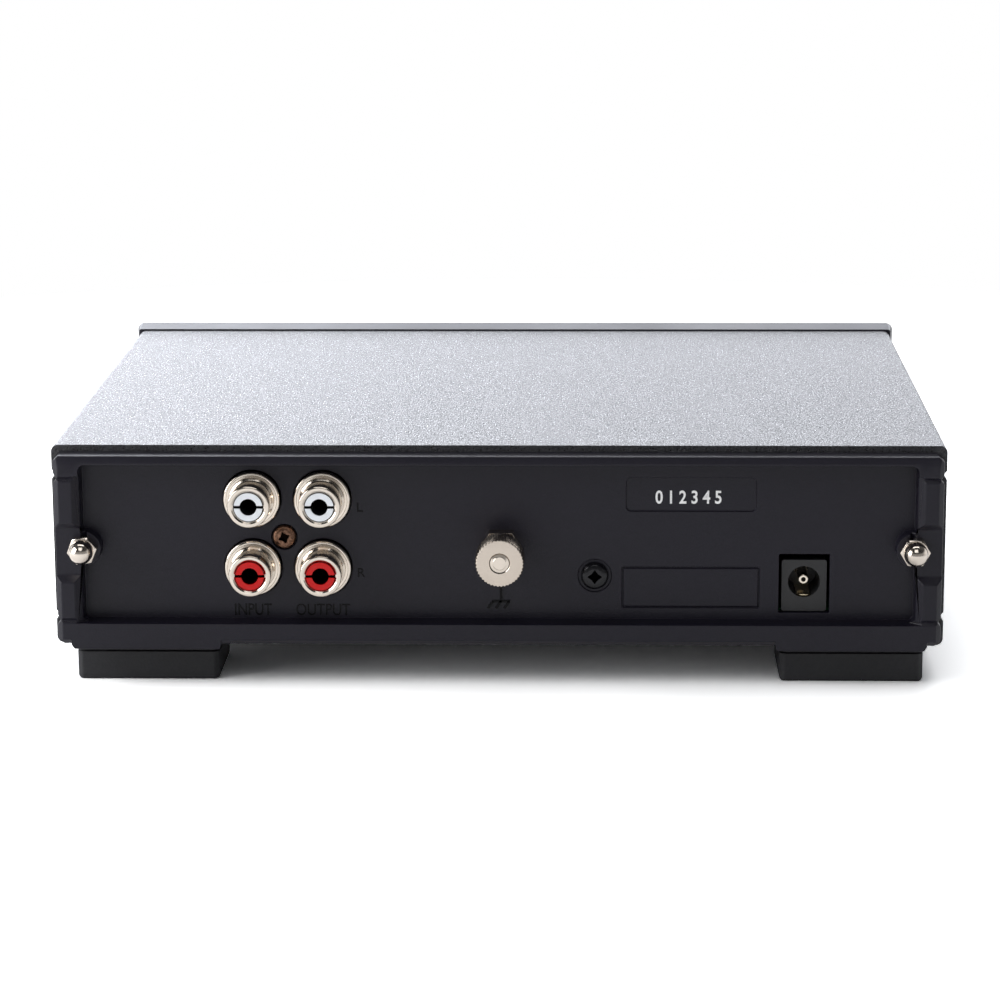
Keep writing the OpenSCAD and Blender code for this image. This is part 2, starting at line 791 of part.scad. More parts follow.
module rod_inserts() color("#c8a45a") {
    for (s = [-1, 1]) difference() {
        bar(s * rod_x, z_mid, insert_r, y_front - insert_l, y_front);
        bar(s * rod_x, z_mid, rod_r, y_front - insert_l - EPS, y_front + EPS);
    }
}

module foot(x, y) color("#151617") {
    intersection() {
        translate([x, y, 0]) linear_extrude(foot_h)
            cut_span([-foot_w / 2, -foot_d / 2], [foot_w / 2, foot_d / 2], foot_c);
        along_y(y - foot_d, y + foot_d)
            cut_span([x - foot_w / 2, 0], [x + foot_w / 2, 2 * foot_h], foot_c / 2);
        along_x(x - foot_w, x + foot_w)
            cut_span([y - foot_d / 2, 0], [y + foot_d / 2, 2 * foot_h], foot_c / 2);
    }
    translate([x, y, foot_h - EPS / 2]) cylinder(r = peg_r, h = sleeve_t + EPS / 2 + 0.2);
    translate([x, y, z_floor]) cylinder(r1 = peg_r + 0.7, r2 = peg_r - 0.3, h = peg_head);
}

module foot_front_left() foot(-foot_x, foot_y_front);
module foot_front_right() foot(foot_x, foot_y_front);
module foot_rear_left() foot(-foot_x, foot_y_rear);
module foot_rear_right() foot(foot_x, foot_y_rear);

// ---------------------------------------------------------------- signal sockets

module circuit_board() color("#1f5c3a") along_z(z_board, z_top) {
    edge = half_in - fit_gap;
    span([-edge, y_board_front], [edge, y_board_rear]);
}

// A moulded block for the four sockets, with a bore for each insulator's stem
module socket_housing() color("#151617") difference() {
    along_y(y_back - housing_d, y_back)
        span([rca_x - housing_half, z_top], [rca_x + housing_half, z_rca_high + 7.2]);
    along_y(y_back - housing_d - EPS, y_back - housing_d * 0.6)
        span([rca_x - housing_half - EPS, z_rca_low + 4], [rca_x + housing_half + EPS, z_rca_high - 4]);
    for (column = [-1, 1], row = [-1, 1]) let (at = rca_at(column, row))
        bar(at[0], at[1], core_r + thread_gap, y_back - housing_d * 0.7, y_back + EPS);
    bar(x_rca_screw, z_rca_screw, screw_shaft(rca_head_r), y_back - housing_d * 0.5, y_back + EPS);
}

// A collar and barrel turned from bar, with a rounded nose
module socket_shell(column, row) color("#cfc5b6") {
    nose = 0.35;
    nick = 0.3;
    root = floor_t + collar_out;
    tip = floor_t + barrel_out;
    turned(rca_at(column, row)[0], y_back, rca_at(column, row)[1])
        polygon([
            [core_r + thread_gap, 0], [collar_r, 0], [collar_r, root - nick], [collar_r - nick, root],
            [barrel_r + nick, root], [barrel_r, root + nick], [barrel_r, tip - nose],
            [barrel_r - nose, tip], [core_r + 2 * nick, tip], [core_r + thread_gap, tip - nose]
        ]);
}

// A slotted insulator, with its pin hole running back to the contact
module socket_core(column, row) {
    tip = y_floor + barrel_out - core_set;
    at = rca_at(column, row);
    difference() {
        bar(at[0], at[1], core_r, y_back - housing_d * 0.7, tip);
        bar(at[0], at[1], pin_hole_r, y_back - housing_d * 0.4, tip + EPS);
        along_y(tip - slot_d, tip + EPS)
            span([at[0] - core_r - EPS, at[1] - slot_w / 2], [at[0] + core_r + EPS, at[1] + slot_w / 2]);
        bar(at[0], at[1], pin_hole_r + 0.5, y_back - housing_d * 0.4, y_floor + 1);
    }
}

module input_shell_left() socket_shell(1, 1);
module input_shell_right() socket_shell(1, -1);
module output_shell_left() socket_shell(-1, 1);
module output_shell_right() socket_shell(-1, -1);
module input_core_left() color("#e6ecf2") socket_core(1, 1);
module input_core_right() color("#c8202a") socket_core(1, -1);
module output_core_left() color("#e6ecf2") socket_core(-1, 1);
module output_core_right() color("#c8202a") socket_core(-1, -1);

// A sprung tube behind each insulator's lip, which grips the plug's pin
module socket_contacts() color("#b8a070") {
    for (column = [-1, 1], row = [-1, 1]) let (at = rca_at(column, row)) difference() {
        bar(at[0], at[1], pin_hole_r + 0.5, y_back - housing_d * 0.4, y_floor + 1);
        bar(at[0], at[1], pin_hole_r, y_back - housing_d * 0.3, y_floor + 2);
    }
}

// A pan head with a tapping shaft and a four-pointed recess, turned by lean
module pan_screw(x, z, head, y_seat, length, lean) {
    shaft = screw_shaft(head);
    head_h = head * 0.55;
    recess = [for (i = [0 : 7]) let (r = head * (i % 2 == 0 ? 0.52 : 0.3))
        [r * cos(i * 45), r * sin(i * 45)]];
    difference() {
        turned(x, y_seat - length, z)
            polygon([
                [0, 0], [shaft * 0.5, 0], [shaft - 0.1, 1], [shaft - 0.1, length], [head, length],
                [head, length + head_h * 0.4], [head * 0.86, length + head_h * 0.8],
                [head * 0.55, length + head_h], [0, length + head_h]
            ]);
        translate([x, y_seat + head_h + EPS, z]) rotate([90, lean, 0])
            linear_extrude(EPS + head_h * 0.8) polygon(recess);
    }
}

module socket_screw() color("#7a5a48")
    pan_screw(x_rca_screw, z_rca_screw, rca_head_r, y_floor - 0.6, 5, 20);

// ---------------------------------------------------------------- ground terminal

module ground_stud() color("#cfc5b6") {
    chamfer = 0.6;
    inner = washer_t + post_nut + 1.5;
    reach = floor_t + inner;
    turned(-post_x, y_back - inner, z_post)
        polygon([
            [0, 0], [stud_r - chamfer, 0], [stud_r, chamfer], [stud_r, reach + post_out - chamfer],
            [stud_r - chamfer, reach + post_out], [0, reach + post_out]
        ]);
}

module ground_nut() color("#cfc5b6") difference() {
    hex_bar(-post_x, z_post, post_af, y_floor, y_floor + post_nut);
    bar(-post_x, z_post, stud_r, y_floor - EPS, y_floor + post_nut + EPS);
}

// A ring with a solder tail that points down to the board
module ground_tag() color("#b9bbbd") along_y(y_back - washer_t, y_back) difference() {
    union() {
        translate([-post_x, z_post]) circle(washer_r);
        span([-post_x - 1.5, z_top], [-post_x + 1.5, z_post]);
    }
    translate([-post_x, z_post]) circle(stud_r + hole_gap / 2);
}

module ground_inner_nut() color("#cfc5b6") difference() {
    hex_bar(-post_x, z_post, post_af - 1, y_back - washer_t - post_nut, y_back - washer_t);
    bar(-post_x, z_post, stud_r, y_back - washer_t - post_nut - EPS, y_back);
}

module clamp_washer() color("#cfc5b6") difference() {
    washer_y = y_floor + post_nut + clamp_gap;
    bar(-post_x, z_post, washer_r, washer_y, washer_y + washer_t);
    bar(-post_x, z_post, stud_r + slide_gap, washer_y - EPS, washer_y + washer_t + EPS);
}

// A straight knurl: ribs all round, with both ends chamfered
module thumb_nut() color("#d9cfbf") {
    chamfer = 0.25;
    step = 180 / knurl_n;
    thumb_y = y_floor + post_out - thumb_t;
    ribs = [for (i = [0 : 2 * knurl_n - 1]) let (r = thumb_r - (i % 2) * knurl_d)
        [-post_x + r * cos(i * step), z_post + r * sin(i * step)]];
    difference() {
        intersection() {
            along_y(thumb_y, thumb_y + thumb_t) polygon(ribs);
            turned(-post_x, thumb_y, z_post)
                polygon([
                    [0, 0], [thumb_r - chamfer, 0], [thumb_r + EPS, chamfer + EPS],
                    [thumb_r + EPS, thumb_t - chamfer - EPS], [thumb_r - chamfer, thumb_t], [0, thumb_t]
                ]);
        }
        bar(-post_x, z_post, stud_r + thread_gap, thumb_y - EPS, thumb_y + thumb_t + EPS);
    }
}

// ---------------------------------------------------------------- power inlet and bracket

module inlet_body() color("#1b1c1f") difference() {
    along_y(y_jack - jack_l, y_jack)
        cut_span([-jack_x - jack_w / 2, z_top], [-jack_x + jack_w / 2, z_jack + jack_top], 0.3);
    bar(-jack_x, z_jack, jack_hole_r, y_hole, y_jack + EPS);
    bar(-jack_x, z_jack, jack_root_r, y_root, y_hole + EPS);
    translate([-jack_x - leaf_w / 2 - 0.05, y_hole, z_leaf])
        cube([leaf_w + 0.1, y_jack - y_hole - leaf_set / 2, jack_hole_r]);
}

// A turned pin with a thicker root that is pressed into the body
module inlet_pin() color("#e8dfc8") {
    nose = 0.35;
    root = y_hole - y_root;
    length = y_jack - jack_pin_set - y_root;
    turned(-jack_x, y_root, z_jack)
        polygon([
            [0, 0], [jack_root_r, 0], [jack_root_r, root], [jack_pin_r, root],
            [jack_pin_r, length - nose], [jack_pin_r - nose, length], [0, length]
        ]);
}

// A leaf that lies in the bottom of the inlet's hole
module inlet_spring() color("#d8b25a")
    translate([-jack_x - leaf_w / 2, y_hole, z_leaf]) cube([leaf_w, y_jack - leaf_set - y_hole, leaf_t]);

module board_bracket() color("#b9bbbd") difference() {
    union() {
        along_y(y_back - bracket_t, y_back)
            span([-bracket_x - bracket_w / 2, z_top], [-bracket_x + bracket_w / 2, z_screw + 6]);
        along_z(z_top, z_top + bracket_t)
            span([-bracket_x - bracket_w / 2, y_back - 11], [-bracket_x + bracket_w / 2, y_back]);
    }
    bar(
        -bracket_x, z_screw, screw_shaft(screw_head_r) - 0.1 + thread_gap,
        y_back - bracket_t - EPS, y_back + EPS);
}

module bracket_screw() color("#1b1c1f")
    pan_screw(-bracket_x, z_screw, screw_head_r, y_floor - 0.3, floor_t + bracket_t + 1, 0);

// ---------------------------------------------------------------- power button and lamp

// A dished cap with a flange that stops against the end of its guide
module power_button() color("#2b2c30") {
    flange = 1.2;
    neck = 3;
    back = y_guide - y_button;
    difference() {
        turned(-button_x, y_button, z_switch)
            polygon([
                [0, 0.3], [button_r - 1, 0.3], [button_r - 0.7, 0], [button_r - 0.3, 0], [button_r, 0.3],
                [button_r, back], [button_r + flange, back], [button_r + flange, back + flange],
                [plunger_r + 1, back + flange], [plunger_r + 1, back + neck], [0, back + neck]
            ]);
        bar(-button_x, z_switch, plunger_r + thread_gap, y_guide - EPS, y_guide + neck + EPS);
    }
}

module switch_plunger() color("#e8e8e4")
    bar(-button_x, z_switch, plunger_r, y_guide - EPS, y_switch + 4);

module switch_body() color("#3a3b3f") difference() {
    along_y(y_switch, y_switch + switch_l)
        cut_span([-button_x - switch_w / 2, z_top], [-button_x + switch_w / 2, z_top + switch_w], 0.6);
    bar(-button_x, z_switch, plunger_r + thread_gap, y_switch - EPS, y_switch + 4.5 + button_travel);
}

// A lamp with a domed tip and two leads that turn down to the board
module indicator_lamp() color("#6ad06a") {
    x = lamp_gap - button_x;
    inner = y_bezel + bezel_t;
    bar(x, z_switch, lamp_r, y_bezel + 0.6, inner + EPS / 2);
    translate([x, y_bezel + 0.6, z_switch]) sphere(lamp_r);
    bar(x, z_switch, lamp_r + 0.4, inner, inner + 1);
    for (s = [-0.8, 0.8]) {
        bar(x + s, z_switch, lead_r, inner + EPS / 2, y_board_front + 2);
        translate([x + s, y_board_front + 2, z_top]) cylinder(r = lead_r, h = z_switch - z_top);
        translate([x + s, y_board_front + 2, z_switch]) sphere(lead_r);
    }
}

// ---------------------------------------------------------------- components on the board

// Aluminium cans in a row of four
module reservoir_capacitors() color("#26354f") {
    for (i = [0 : 3])
        translate([-tank_x - i * (2 * tank_r + tank_gap), -tank_y, z_top]) can(tank_r, tank_h);
}

// A can with a rolled groove near its foot and a scored top
module can(r, h) {
    rotate_extrude() polygon([
        [0, 0], [r - 0.3, 0], [r, 0.3], [r, 1.8], [r - 0.4, 2.3], [r, 2.8], [r, h - 0.5], [r - 0.5, h],
        [r - 1, h - 0.3], [0, h - 0.3]
    ]);
}

// Axial diodes lying beside the inlet
module rectifier_diodes() color("#202226") {
    for (i = [0 : 3]) axial(-diode_x - i * diode_pitch, diode_y, diode_r, diode_l);
}

// A body along Y that hangs between two bent leads
module axial(x, y, r, length) {
    reach = length / 2 + 1.5;
    bar(x, z_top + r, r, y - length / 2, y + length / 2);
    bar(x, z_top + r, lead_r, y - reach, y + reach);
    for (s = [-1, 1]) translate([x, y + s * reach, z_top]) cylinder(r = lead_r, h = r + lead_r);
}

// Tab packages that stand against their heat sinks
module regulators() color("#202226") {
    w = regulator_w;
    for (i = [0, 1]) translate([-regulator_x - i * regulator_pitch - w / 2, regulator_y, z_top]) {
        cube([w, w * 0.45, w * 0.3]);
        translate([0, 0, w * 0.3]) cube([w, w * 0.32, w * 0.9]);
        translate([0, 0, w * 1.2]) cube([w, w * 0.13, w * 0.65]);
    }
}

// U-shaped extrusions behind the regulators
module heat_sinks() color("#8f9296") {
    for (i = [0, 1])
        translate([-regulator_x - i * regulator_pitch, regulator_y, 0]) along_z(z_top, z_top + sink_h)
        difference() {
            span([-sink_w / 2, -sink_d], [sink_w / 2, 0]);
            span([-sink_w / 2 + sink_t, -sink_d - EPS], [sink_w / 2 - sink_t, -sink_t]);
        }
}

module signal_capacitors() color("#26354f") {
    for (i = [0 : 3], j = [0 : 1])
        translate([signal_x + i * signal_pitch, -small_y + j * small_pitch, z_top]) can(small_r, small_h);
}

module film_capacitors() color("#b3352c") {
    for (i = [0 : 3], j = [0 : 1])
        translate([signal_x + i * signal_pitch - film_l / 2, film_y + j * film_pitch - film_w / 2, z_top])
        cube([film_l, film_w, film_h]);
}

// Eight-legged packages with a notch at one end
module amplifier_chips() color("#202226") {
    leg = 2 * lead_r;
    chip_h = 3.4;
    for (n = [0, 1]) translate([chip_x + n * chip_pitch, -chip_y, z_top]) {
        difference() {
            translate([-chip_l / 2, -chip_w / 2, 0.5]) cube([chip_l, chip_w, chip_h]);
            translate([-chip_l / 2, 0, chip_h]) cylinder(r = 0.8, h = EPS);
        }
        for (i = [-1.5 : 1 : 1.5], s = [-1, 1])
            translate([i * 2.54 - lead_r, s * (chip_w / 2 + lead_r) - lead_r, 0]) cube([leg, leg, 2.4]);
    }
}

// Small plastic transistors: a round body with a flat front
module transistors() color("#202226") {
    r = transistor_r;
    for (i = [0 : 3], j = [0 : 1])
        translate([transistor_x + i * transistor_pitch, -transistor_y + j * transistor_row, z_top]) {
            difference() {
                translate([0, 0, r]) cylinder(r = r, h = 2 * r);
                translate([-r - EPS, -r - EPS, EPS]) cube([2 * r + 2 * EPS, r * 0.4 + EPS, 3 * r]);
            }
            for (s = [-0.53, 0, 0.53]) translate([s * r, r / 8, 0]) cylinder(r = lead_r, h = r + lead_r);
        }
}

module resistors() color("#c9b48c") {
    for (i = [0 : 9]) axial(resistor_x + i * resistor_pitch, resistor_y, resistor_r, resistor_l);
    for (i = [0 : 6]) axial(-resistor_x - i * resistor_pitch, -supply_y, resistor_r, resistor_l);
}

// ---------------------------------------------------------------- the assembly

case_sleeve();
front_panel();
rear_panel();
tie_rods();
domed_nuts();
rod_inserts();
foot_front_left();
foot_front_right();
foot_rear_left();
foot_rear_right();
circuit_board();
socket_housing();
input_shell_left();
input_shell_right();
output_shell_left();
output_shell_right();
input_core_left();
input_core_right();
output_core_left();
output_core_right();
socket_contacts();
socket_screw();
ground_stud();
ground_nut();
ground_tag();
ground_inner_nut();
clamp_washer();
thumb_nut();
inlet_body();
inlet_pin();
inlet_spring();
board_bracket();
bracket_screw();
power_button();
switch_plunger();
switch_body();
indicator_lamp();
reservoir_capacitors();
rectifier_diodes();
regulators();
heat_sinks();
signal_capacitors();
film_capacitors();
amplifier_chips();
transistors();
resistors();
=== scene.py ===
"""Looks of a compact phono preamplifier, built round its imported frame.

Every length is in millimetres in the classes and becomes metres where a mesh is made.
The rear, with the sockets, faces +Y. The front, with the push button, faces -Y.
"""

import logging
import math
from dataclasses import dataclass, field
from enum import Enum
from typing import Mapping, Sequence

import bmesh
import bpy
from mathutils import Matrix, Vector


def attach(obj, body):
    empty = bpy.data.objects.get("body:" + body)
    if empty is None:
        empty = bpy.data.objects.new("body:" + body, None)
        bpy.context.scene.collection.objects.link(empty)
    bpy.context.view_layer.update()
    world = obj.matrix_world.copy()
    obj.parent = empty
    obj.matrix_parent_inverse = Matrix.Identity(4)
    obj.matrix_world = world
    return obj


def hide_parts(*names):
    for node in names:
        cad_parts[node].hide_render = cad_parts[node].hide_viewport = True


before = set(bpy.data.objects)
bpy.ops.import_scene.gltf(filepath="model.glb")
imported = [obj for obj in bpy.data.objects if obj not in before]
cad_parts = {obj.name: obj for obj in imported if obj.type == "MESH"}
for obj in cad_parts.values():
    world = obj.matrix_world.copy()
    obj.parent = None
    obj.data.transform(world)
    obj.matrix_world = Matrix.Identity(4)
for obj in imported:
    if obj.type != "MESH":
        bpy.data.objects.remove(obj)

Tree = bpy.types.NodeTree
Socket = bpy.types.NodeSocket
Piece = bpy.types.Object

LOG = logging.getLogger("preamplifier")
MM = 0.001
# Points of a mesh that are closer than this, in metres, are one point.
MERGE_M = 2e-6
# Faces that meet at less than FLAT_DEGREES are one plane. Edges sharper than EASE_DEGREES are
# rounded. Edges sharper than SHARP_DEGREES, or CUT_DEGREES on a turned piece, are shaded sharp.
FLAT_DEGREES = 0.6
EASE_DEGREES = 28.0
SHARP_DEGREES = 32.0
CUT_DEGREES = 24.0


class Body(Enum):
    """The rigid bodies that pieces ride on."""

    CASE = "case"
    BUTTON = "button"
    CLAMP = "clamp"
    THUMB = "thumb"


class Around(Enum):
    """Which reading of a pattern a finish uses."""

    SOLID = "solid"
    TURNED = "turned"
    LAID = "laid"


# ---------- nodes and colours


def linear(code: str) -> tuple[float, float, float, float]:
    """Turns an sRGB hex value to a linear colour.

    Args:
        code: Six hex digits, with or without a leading hash sign.

    Returns:
        Red, green, blue and an alpha of 1.
    """
    digits = code.lstrip("#")
    parts = [int(digits[i : i + 2], 16) / 255 for i in (0, 2, 4)]
    out = [c / 12.92 if c <= 0.04045 else ((c + 0.055) / 1.055) ** 2.4 for c in parts]
    return (out[0], out[1], out[2], 1.0)


def add(
    tree: Tree,
    kind: str,
    inputs: Mapping[str | int, object] | None = None,
    **settings: object,
) -> bpy.types.Node:
    """Adds a node with its settings and links.

    Args:
        tree: The tree that gets the node.
        kind: The node's type name.
        inputs: Socket name or number to a plain value or to the output that feeds it.
        **settings: Attributes of the node itself.

    Returns:
        The new node.
    """
    node = tree.nodes.new(kind)
    for key, value in settings.items():
        setattr(node, key, value)
    for key, value in (inputs or {}).items():
        socket = node.inputs[key]
        if isinstance(value, Socket):
            tree.links.new(value, socket)
        else:
            socket.default_value = value
    return node


def calc(tree: Tree, operation: str, *values: float | Socket) -> Socket:
    """Adds a maths node.

    Args:
        tree: The tree that gets the node.
        operation: What it does.
        *values: Its operands, each a number or the output that feeds it.

    Returns:
        The result.
    """
    return add(tree, "ShaderNodeMath", dict(enumerate(values)), operation=operation).outputs[0]


def ramp(
    tree: Tree, source: Socket, start: float, end: float, low: float = 0.0, high: float = 1.0
) -> Socket:
    """Adds a straight ramp that is level past both of its ends.

    Args:
        tree: The tree that gets the node.
        source: The value that the ramp follows.
        start: The source's value where the ramp starts.
        end: The source's value where it ends.
        low: The result at the start.
        high: The result at the end.

    Returns:
        The result.
    """
    inputs = {0: source, 1: start, 2: end, 3: low, 4: high}
    return add(tree, "ShaderNodeMapRange", inputs).outputs["Result"]


def mix(tree: Tree, share: Socket, first: Socket, second: Socket) -> Socket:
    """Adds a mix of two shaders.

    Args:
        tree: The tree that gets the node.
        share: How much of the second shader there is.
        first: The first shader.
        second: The second shader.

    Returns:
        The mixed shader.
    """
    return add(tree, "ShaderNodeMixShader", {"Fac": share, 1: first, 2: second}).outputs[0]


def rays(tree: Tree) -> tuple[Socket, Socket]:
    """Tells by what way a surface is seen.

    Args:
        tree: The tree that gets the nodes.

    Returns:
        Whether it is seen straight by the camera, and whether in a gloss or through glass.
    """
    path = add(tree, "ShaderNodeLightPath").outputs
    mirrored = calc(tree, "MAXIMUM", path["Is Glossy Ray"], path["Is Transmission Ray"])
    return path["Is Camera Ray"], mirrored


# ---------- finishes

# How a pattern is drawn out: along the cut of a turned piece, and along Y on a laid finish.
TURNED_SCALE = (0.04, 1.0, 1.0)
LAID_SCALE = (1.0, 0.4, 1.0)


@dataclass(frozen=True)
class PitShade:
    """The unlit inside of a hole that runs in along Y, in millimetres.

    This is painted shade: the surface's colour and gloss are black behind depth `low` and
    clear in front of depth `high`. With a radius, only what lies inside that radius of the
    line at x and z is darkened, with an edge as wide as `blur`.
    """

    low: float
    high: float
    x: float = 0.0
    z: float = 0.0
    radius: float = 0.0
    blur: float = 0.1
    least: float = 0.02

    def light(self, tree: Tree) -> Socket:
        """Returns how much light reaches each point of the surface.

        Args:
            tree: The material's tree.

        Returns:
            The painted shade's factor, from `least` in the hole to 1 outside it.
        """
        where = add(tree, "ShaderNodeTexCoord").outputs["Object"]
        parts = add(tree, "ShaderNodeSeparateXYZ", {0: where}).outputs
        depth = ramp(tree, parts["Y"], self.low * MM, self.high * MM, self.least, 1.0)
        if not self.radius:
            return depth
        flat = add(tree, "ShaderNodeCombineXYZ", {"X": parts["X"], "Z": parts["Z"]}).outputs[0]
        centre = (self.x * MM, 0.0, self.z * MM)
        apart = add(tree, "ShaderNodeVectorMath", {0: flat, 1: centre}, operation="DISTANCE")
        edge = self.radius + self.blur
        outside = ramp(tree, apart.outputs["Value"], self.radius * MM, edge * MM)
        return calc(tree, "MAXIMUM", depth, outside)


@dataclass(frozen=True)
class Finish:
    """A surface finish: what it is made of and how it was made.

    The grain is a fine relief. The cloud is a slow change of colour and gloss over
    the surface, which hand and air leave on every real part.
    """

    name: str
    colour: str
    roughness: float
    metallic: float = 0.0
    ior: float = 1.5
    specular: float = 0.5
    grain_mm: float = 0.4
    relief: float = 0.05
    speckle: float = 0.0
    cloud_mm: float = 25.0
    cloud: float = 0.08
    gloss_change: float = 0.06
    coat: float = 0.0
    coat_roughness: float = 0.1
    around: Around = Around.SOLID
    glow: float = 0.0
    # Painted shade inside a hole, if any.
    pit_shade: PitShade | None = None
    sparkle: float = 0.0

    def place(self, tree: Tree) -> Socket:
        """Returns the place that the pattern is read at, in metres.

        Args:
            tree: The material's tree.

        Returns:
            Object coordinates, drawn out along Y on a laid finish, or for a turned piece its
            UV map drawn out along the cut.
        """
        where = add(tree, "ShaderNodeTexCoord")
        if self.around is Around.SOLID:
            return where.outputs["Object"]
        source, scale = where.outputs["UV"], TURNED_SCALE
        if self.around is Around.LAID:
            source, scale = where.outputs["Object"], LAID_SCALE
        return add(tree, "ShaderNodeMapping", {"Vector": source, "Scale": scale}).outputs[0]

    def noise(self, tree: Tree, place: Socket, size_mm: float, detail: float) -> Socket:
        """Adds a noise whose lumps are size_mm across.

        Args:
            tree: The material's tree.
            place: Where the noise is read.
            size_mm: Size of one lump on the real part.
            detail: How many finer layers are added.

        Returns:
            The noise's value, about 0.5 on average.
        """
        inputs = {"Vector": place, "Scale": 1.0 / (size_mm * MM), "Detail": detail}
        return add(tree, "ShaderNodeTexNoise", inputs).outputs["Fac"]

    def tint(self, tree: Tree, grain: Socket, cloud: Socket) -> Socket:
        """Adds the surface's colour.

        Args:
            tree: The material's tree.
            grain: The fine noise.
            cloud: The slow noise.

        Returns:
            The colour.
        """
        base = linear(self.colour)
        level = ramp(tree, cloud, 0.3, 0.7, 1.0 - self.cloud, 1.0 + self.cloud)
        if self.speckle:
            dots = ramp(tree, grain, 0.35, 0.65, 1 - self.speckle, 1 + self.speckle)
            level = calc(tree, "MULTIPLY", level, dots)
        # Painted shade: the colour is darkened inside a hole.
        if self.pit_shade:
            level = calc(tree, "MULTIPLY", level, self.pit_shade.light(tree))
        scaled = add(
            tree, "ShaderNodeVectorMath", {0: base[:3], "Scale": level}, operation="SCALE"
        )
        return scaled.outputs["Vector"]

    def shine(self, tree: Tree, grain: Socket, cloud: Socket) -> Socket:
        """Adds a roughness that drifts with the slow noise, or sparkles with the fine one.

        Args:
            tree: The material's tree.
            grain: The fine noise.
            cloud: The slow noise.

        Returns:
            The roughness.
        """
        change = self.sparkle or self.gloss_change
        low = max(0.02, self.roughness - change)
        high = min(1.0, self.roughness + change)
        return ramp(tree, grain if self.sparkle else cloud, 0.3, 0.7, low, high)

    def lift(self, tree: Tree, grain: Socket) -> Socket:
        """Adds the fine relief.

        Args:
            tree: The material's tree.
            grain: The fine noise.

        Returns:
            The normal.
        """
        inputs = {"Height": grain, "Strength": self.relief, "Distance": self.grain_mm * MM}
        return add(tree, "ShaderNodeBump", inputs).outputs["Normal"]

    def material(self) -> bpy.types.Material:
        """Returns the Blender material of this finish, made on first use."""
        made = bpy.data.materials.get(self.name)
        if made is not None:
            return made
        made = bpy.data.materials.new(self.name)
        made.use_nodes = True
        tree = made.node_tree
        tree.nodes.clear()
        place = self.place(tree)
        grain = self.noise(tree, place, self.grain_mm, 2.0)
        cloud = self.noise(tree, place, self.cloud_mm, 3.0)
        shader = add(
            tree,
            "ShaderNodeBsdfPrincipled",
            {
                "Base Color": self.tint(tree, grain, cloud),
                "Roughness": self.shine(tree, grain, cloud),
                "Normal": self.lift(tree, grain),
                "Metallic": self.metallic,
                "IOR": self.ior,
                "Specular IOR Level": self.specular,
                "Coat Weight": self.coat,
                "Coat Roughness": self.coat_roughness,
            },
        )
        # Painted shade: the gloss is dimmed inside a hole as well.
        if self.pit_shade:
            gloss = calc(tree, "MULTIPLY", self.pit_shade.light(tree), self.specular)
            tree.links.new(gloss, shader.inputs["Specular IOR Level"])
        if self.glow:
            shader.inputs["Emission Color"].default_value = linear(self.colour)
            shader.inputs["Emission Strength"].default_value = self.glow
        add(tree, "ShaderNodeOutputMaterial", {"Surface": shader.outputs["BSDF"]})
        made.diffuse_color = linear(self.colour)
        return made


# Powder coat on extruded aluminium: a dry sparkle of fine lumps, grey where it faces light.
# The lumps are drawn 0.3 by 0.75 mm, coarser than the real 0.2 mm, so that they show.
POWDER = Finish(
    "powder_coat_charcoal", "2b2b2f", 0.41, grain_mm=0.30, relief=1.0, speckle=0.50, cloud=0.0,
    around=Around.LAID, sparkle=0.18,
)
# Spark-eroded moulded ABS: a black with soft gloss; its 0.05 mm grain is drawn at 0.35 mm.
ABS = Finish(
    "moulded_abs_black", "14121d", 0.40, specular=0.30, grain_mm=0.35, relief=0.12, speckle=0.08,
    gloss_change=0.03,
)
# The raised letters are the same plastic, moulded from a polished part of the tool. Their
# colour and gloss are painted darker than the panel's, as shade, so that they look darker.
ABS_RELIEF_SHADED = Finish(
    "moulded_abs_relief_shaded", "060608", 0.25, specular=0.12, grain_mm=0.4, relief=0.02, cloud_mm=4
)
# The same plastic from a polished tool, as on a push button: smoother and a little glossier.
ABS_POLISHED = Finish(
    "moulded_abs_polished", "2c2c30", 0.28, grain_mm=0.6, relief=0.02, cloud_mm=12
)
# Moulded nylon: waxy and dark, with faint flow marks.
NYLON = Finish("moulded_nylon_black", "1c1c1e", 0.42, grain_mm=0.8, relief=0.03, cloud_mm=8)
# White moulded nylon: bright, slightly cool, with a soft waxy gloss. Its bore is painted dark as
# shade.
NYLON_WHITE = Finish(
    "moulded_nylon_white", "e6eaee", 0.35, grain_mm=0.7, relief=0.02, cloud=0.02, cloud_mm=4,
    pit_shade=PitShade(74.05, 74.35),
)
# Red moulded nylon: a clear signal red. Its bore is painted dark as shade.
NYLON_RED = Finish(
    "moulded_nylon_red", "c20a09", 0.34, specular=0.3, grain_mm=0.7, relief=0.02, cloud=0.04,
    cloud_mm=4, pit_shade=PitShade(74.05, 74.35),
)
# Bright nickel on turned brass: warm silver; the tool's rings are drawn 0.12 mm apart.
NICKEL_TURNED = Finish(
    "nickel_plate_turned", "d8cec2", 0.15, 1.0, grain_mm=0.12, relief=0.03, cloud=0.05,
    cloud_mm=2.5, gloss_change=0.05, around=Around.TURNED,
)
# Bright nickel on a formed part: the same colour with faint handling marks.
NICKEL = Finish(
    "nickel_plate_bright", "d9cfc4", 0.13, 1.0, grain_mm=0.5, relief=0.02, cloud=0.05,
    cloud_mm=3, gloss_change=0.06,
)
# Nickel on a knurled part: satin, because each tooth is smeared by the wheel.
NICKEL_SATIN = Finish(
    "nickel_plate_satin", "c9beb2", 0.20, 1.0, grain_mm=0.3, relief=0.08, cloud=0.04,
    cloud_mm=3, gloss_change=0.05,
)
# Bright zinc on drawn steel: blue-white, slightly streaked.
ZINC = Finish("zinc_plate_drawn", "b4b7ba", 0.30, 1.0, grain_mm=0.3, relief=0.04, cloud_mm=6)
# Bare turned brass: yellow, dulled by air.
BRASS = Finish("turned_brass", "b98f4a", 0.30, 1.0, grain_mm=0.2, relief=0.04, cloud_mm=4)
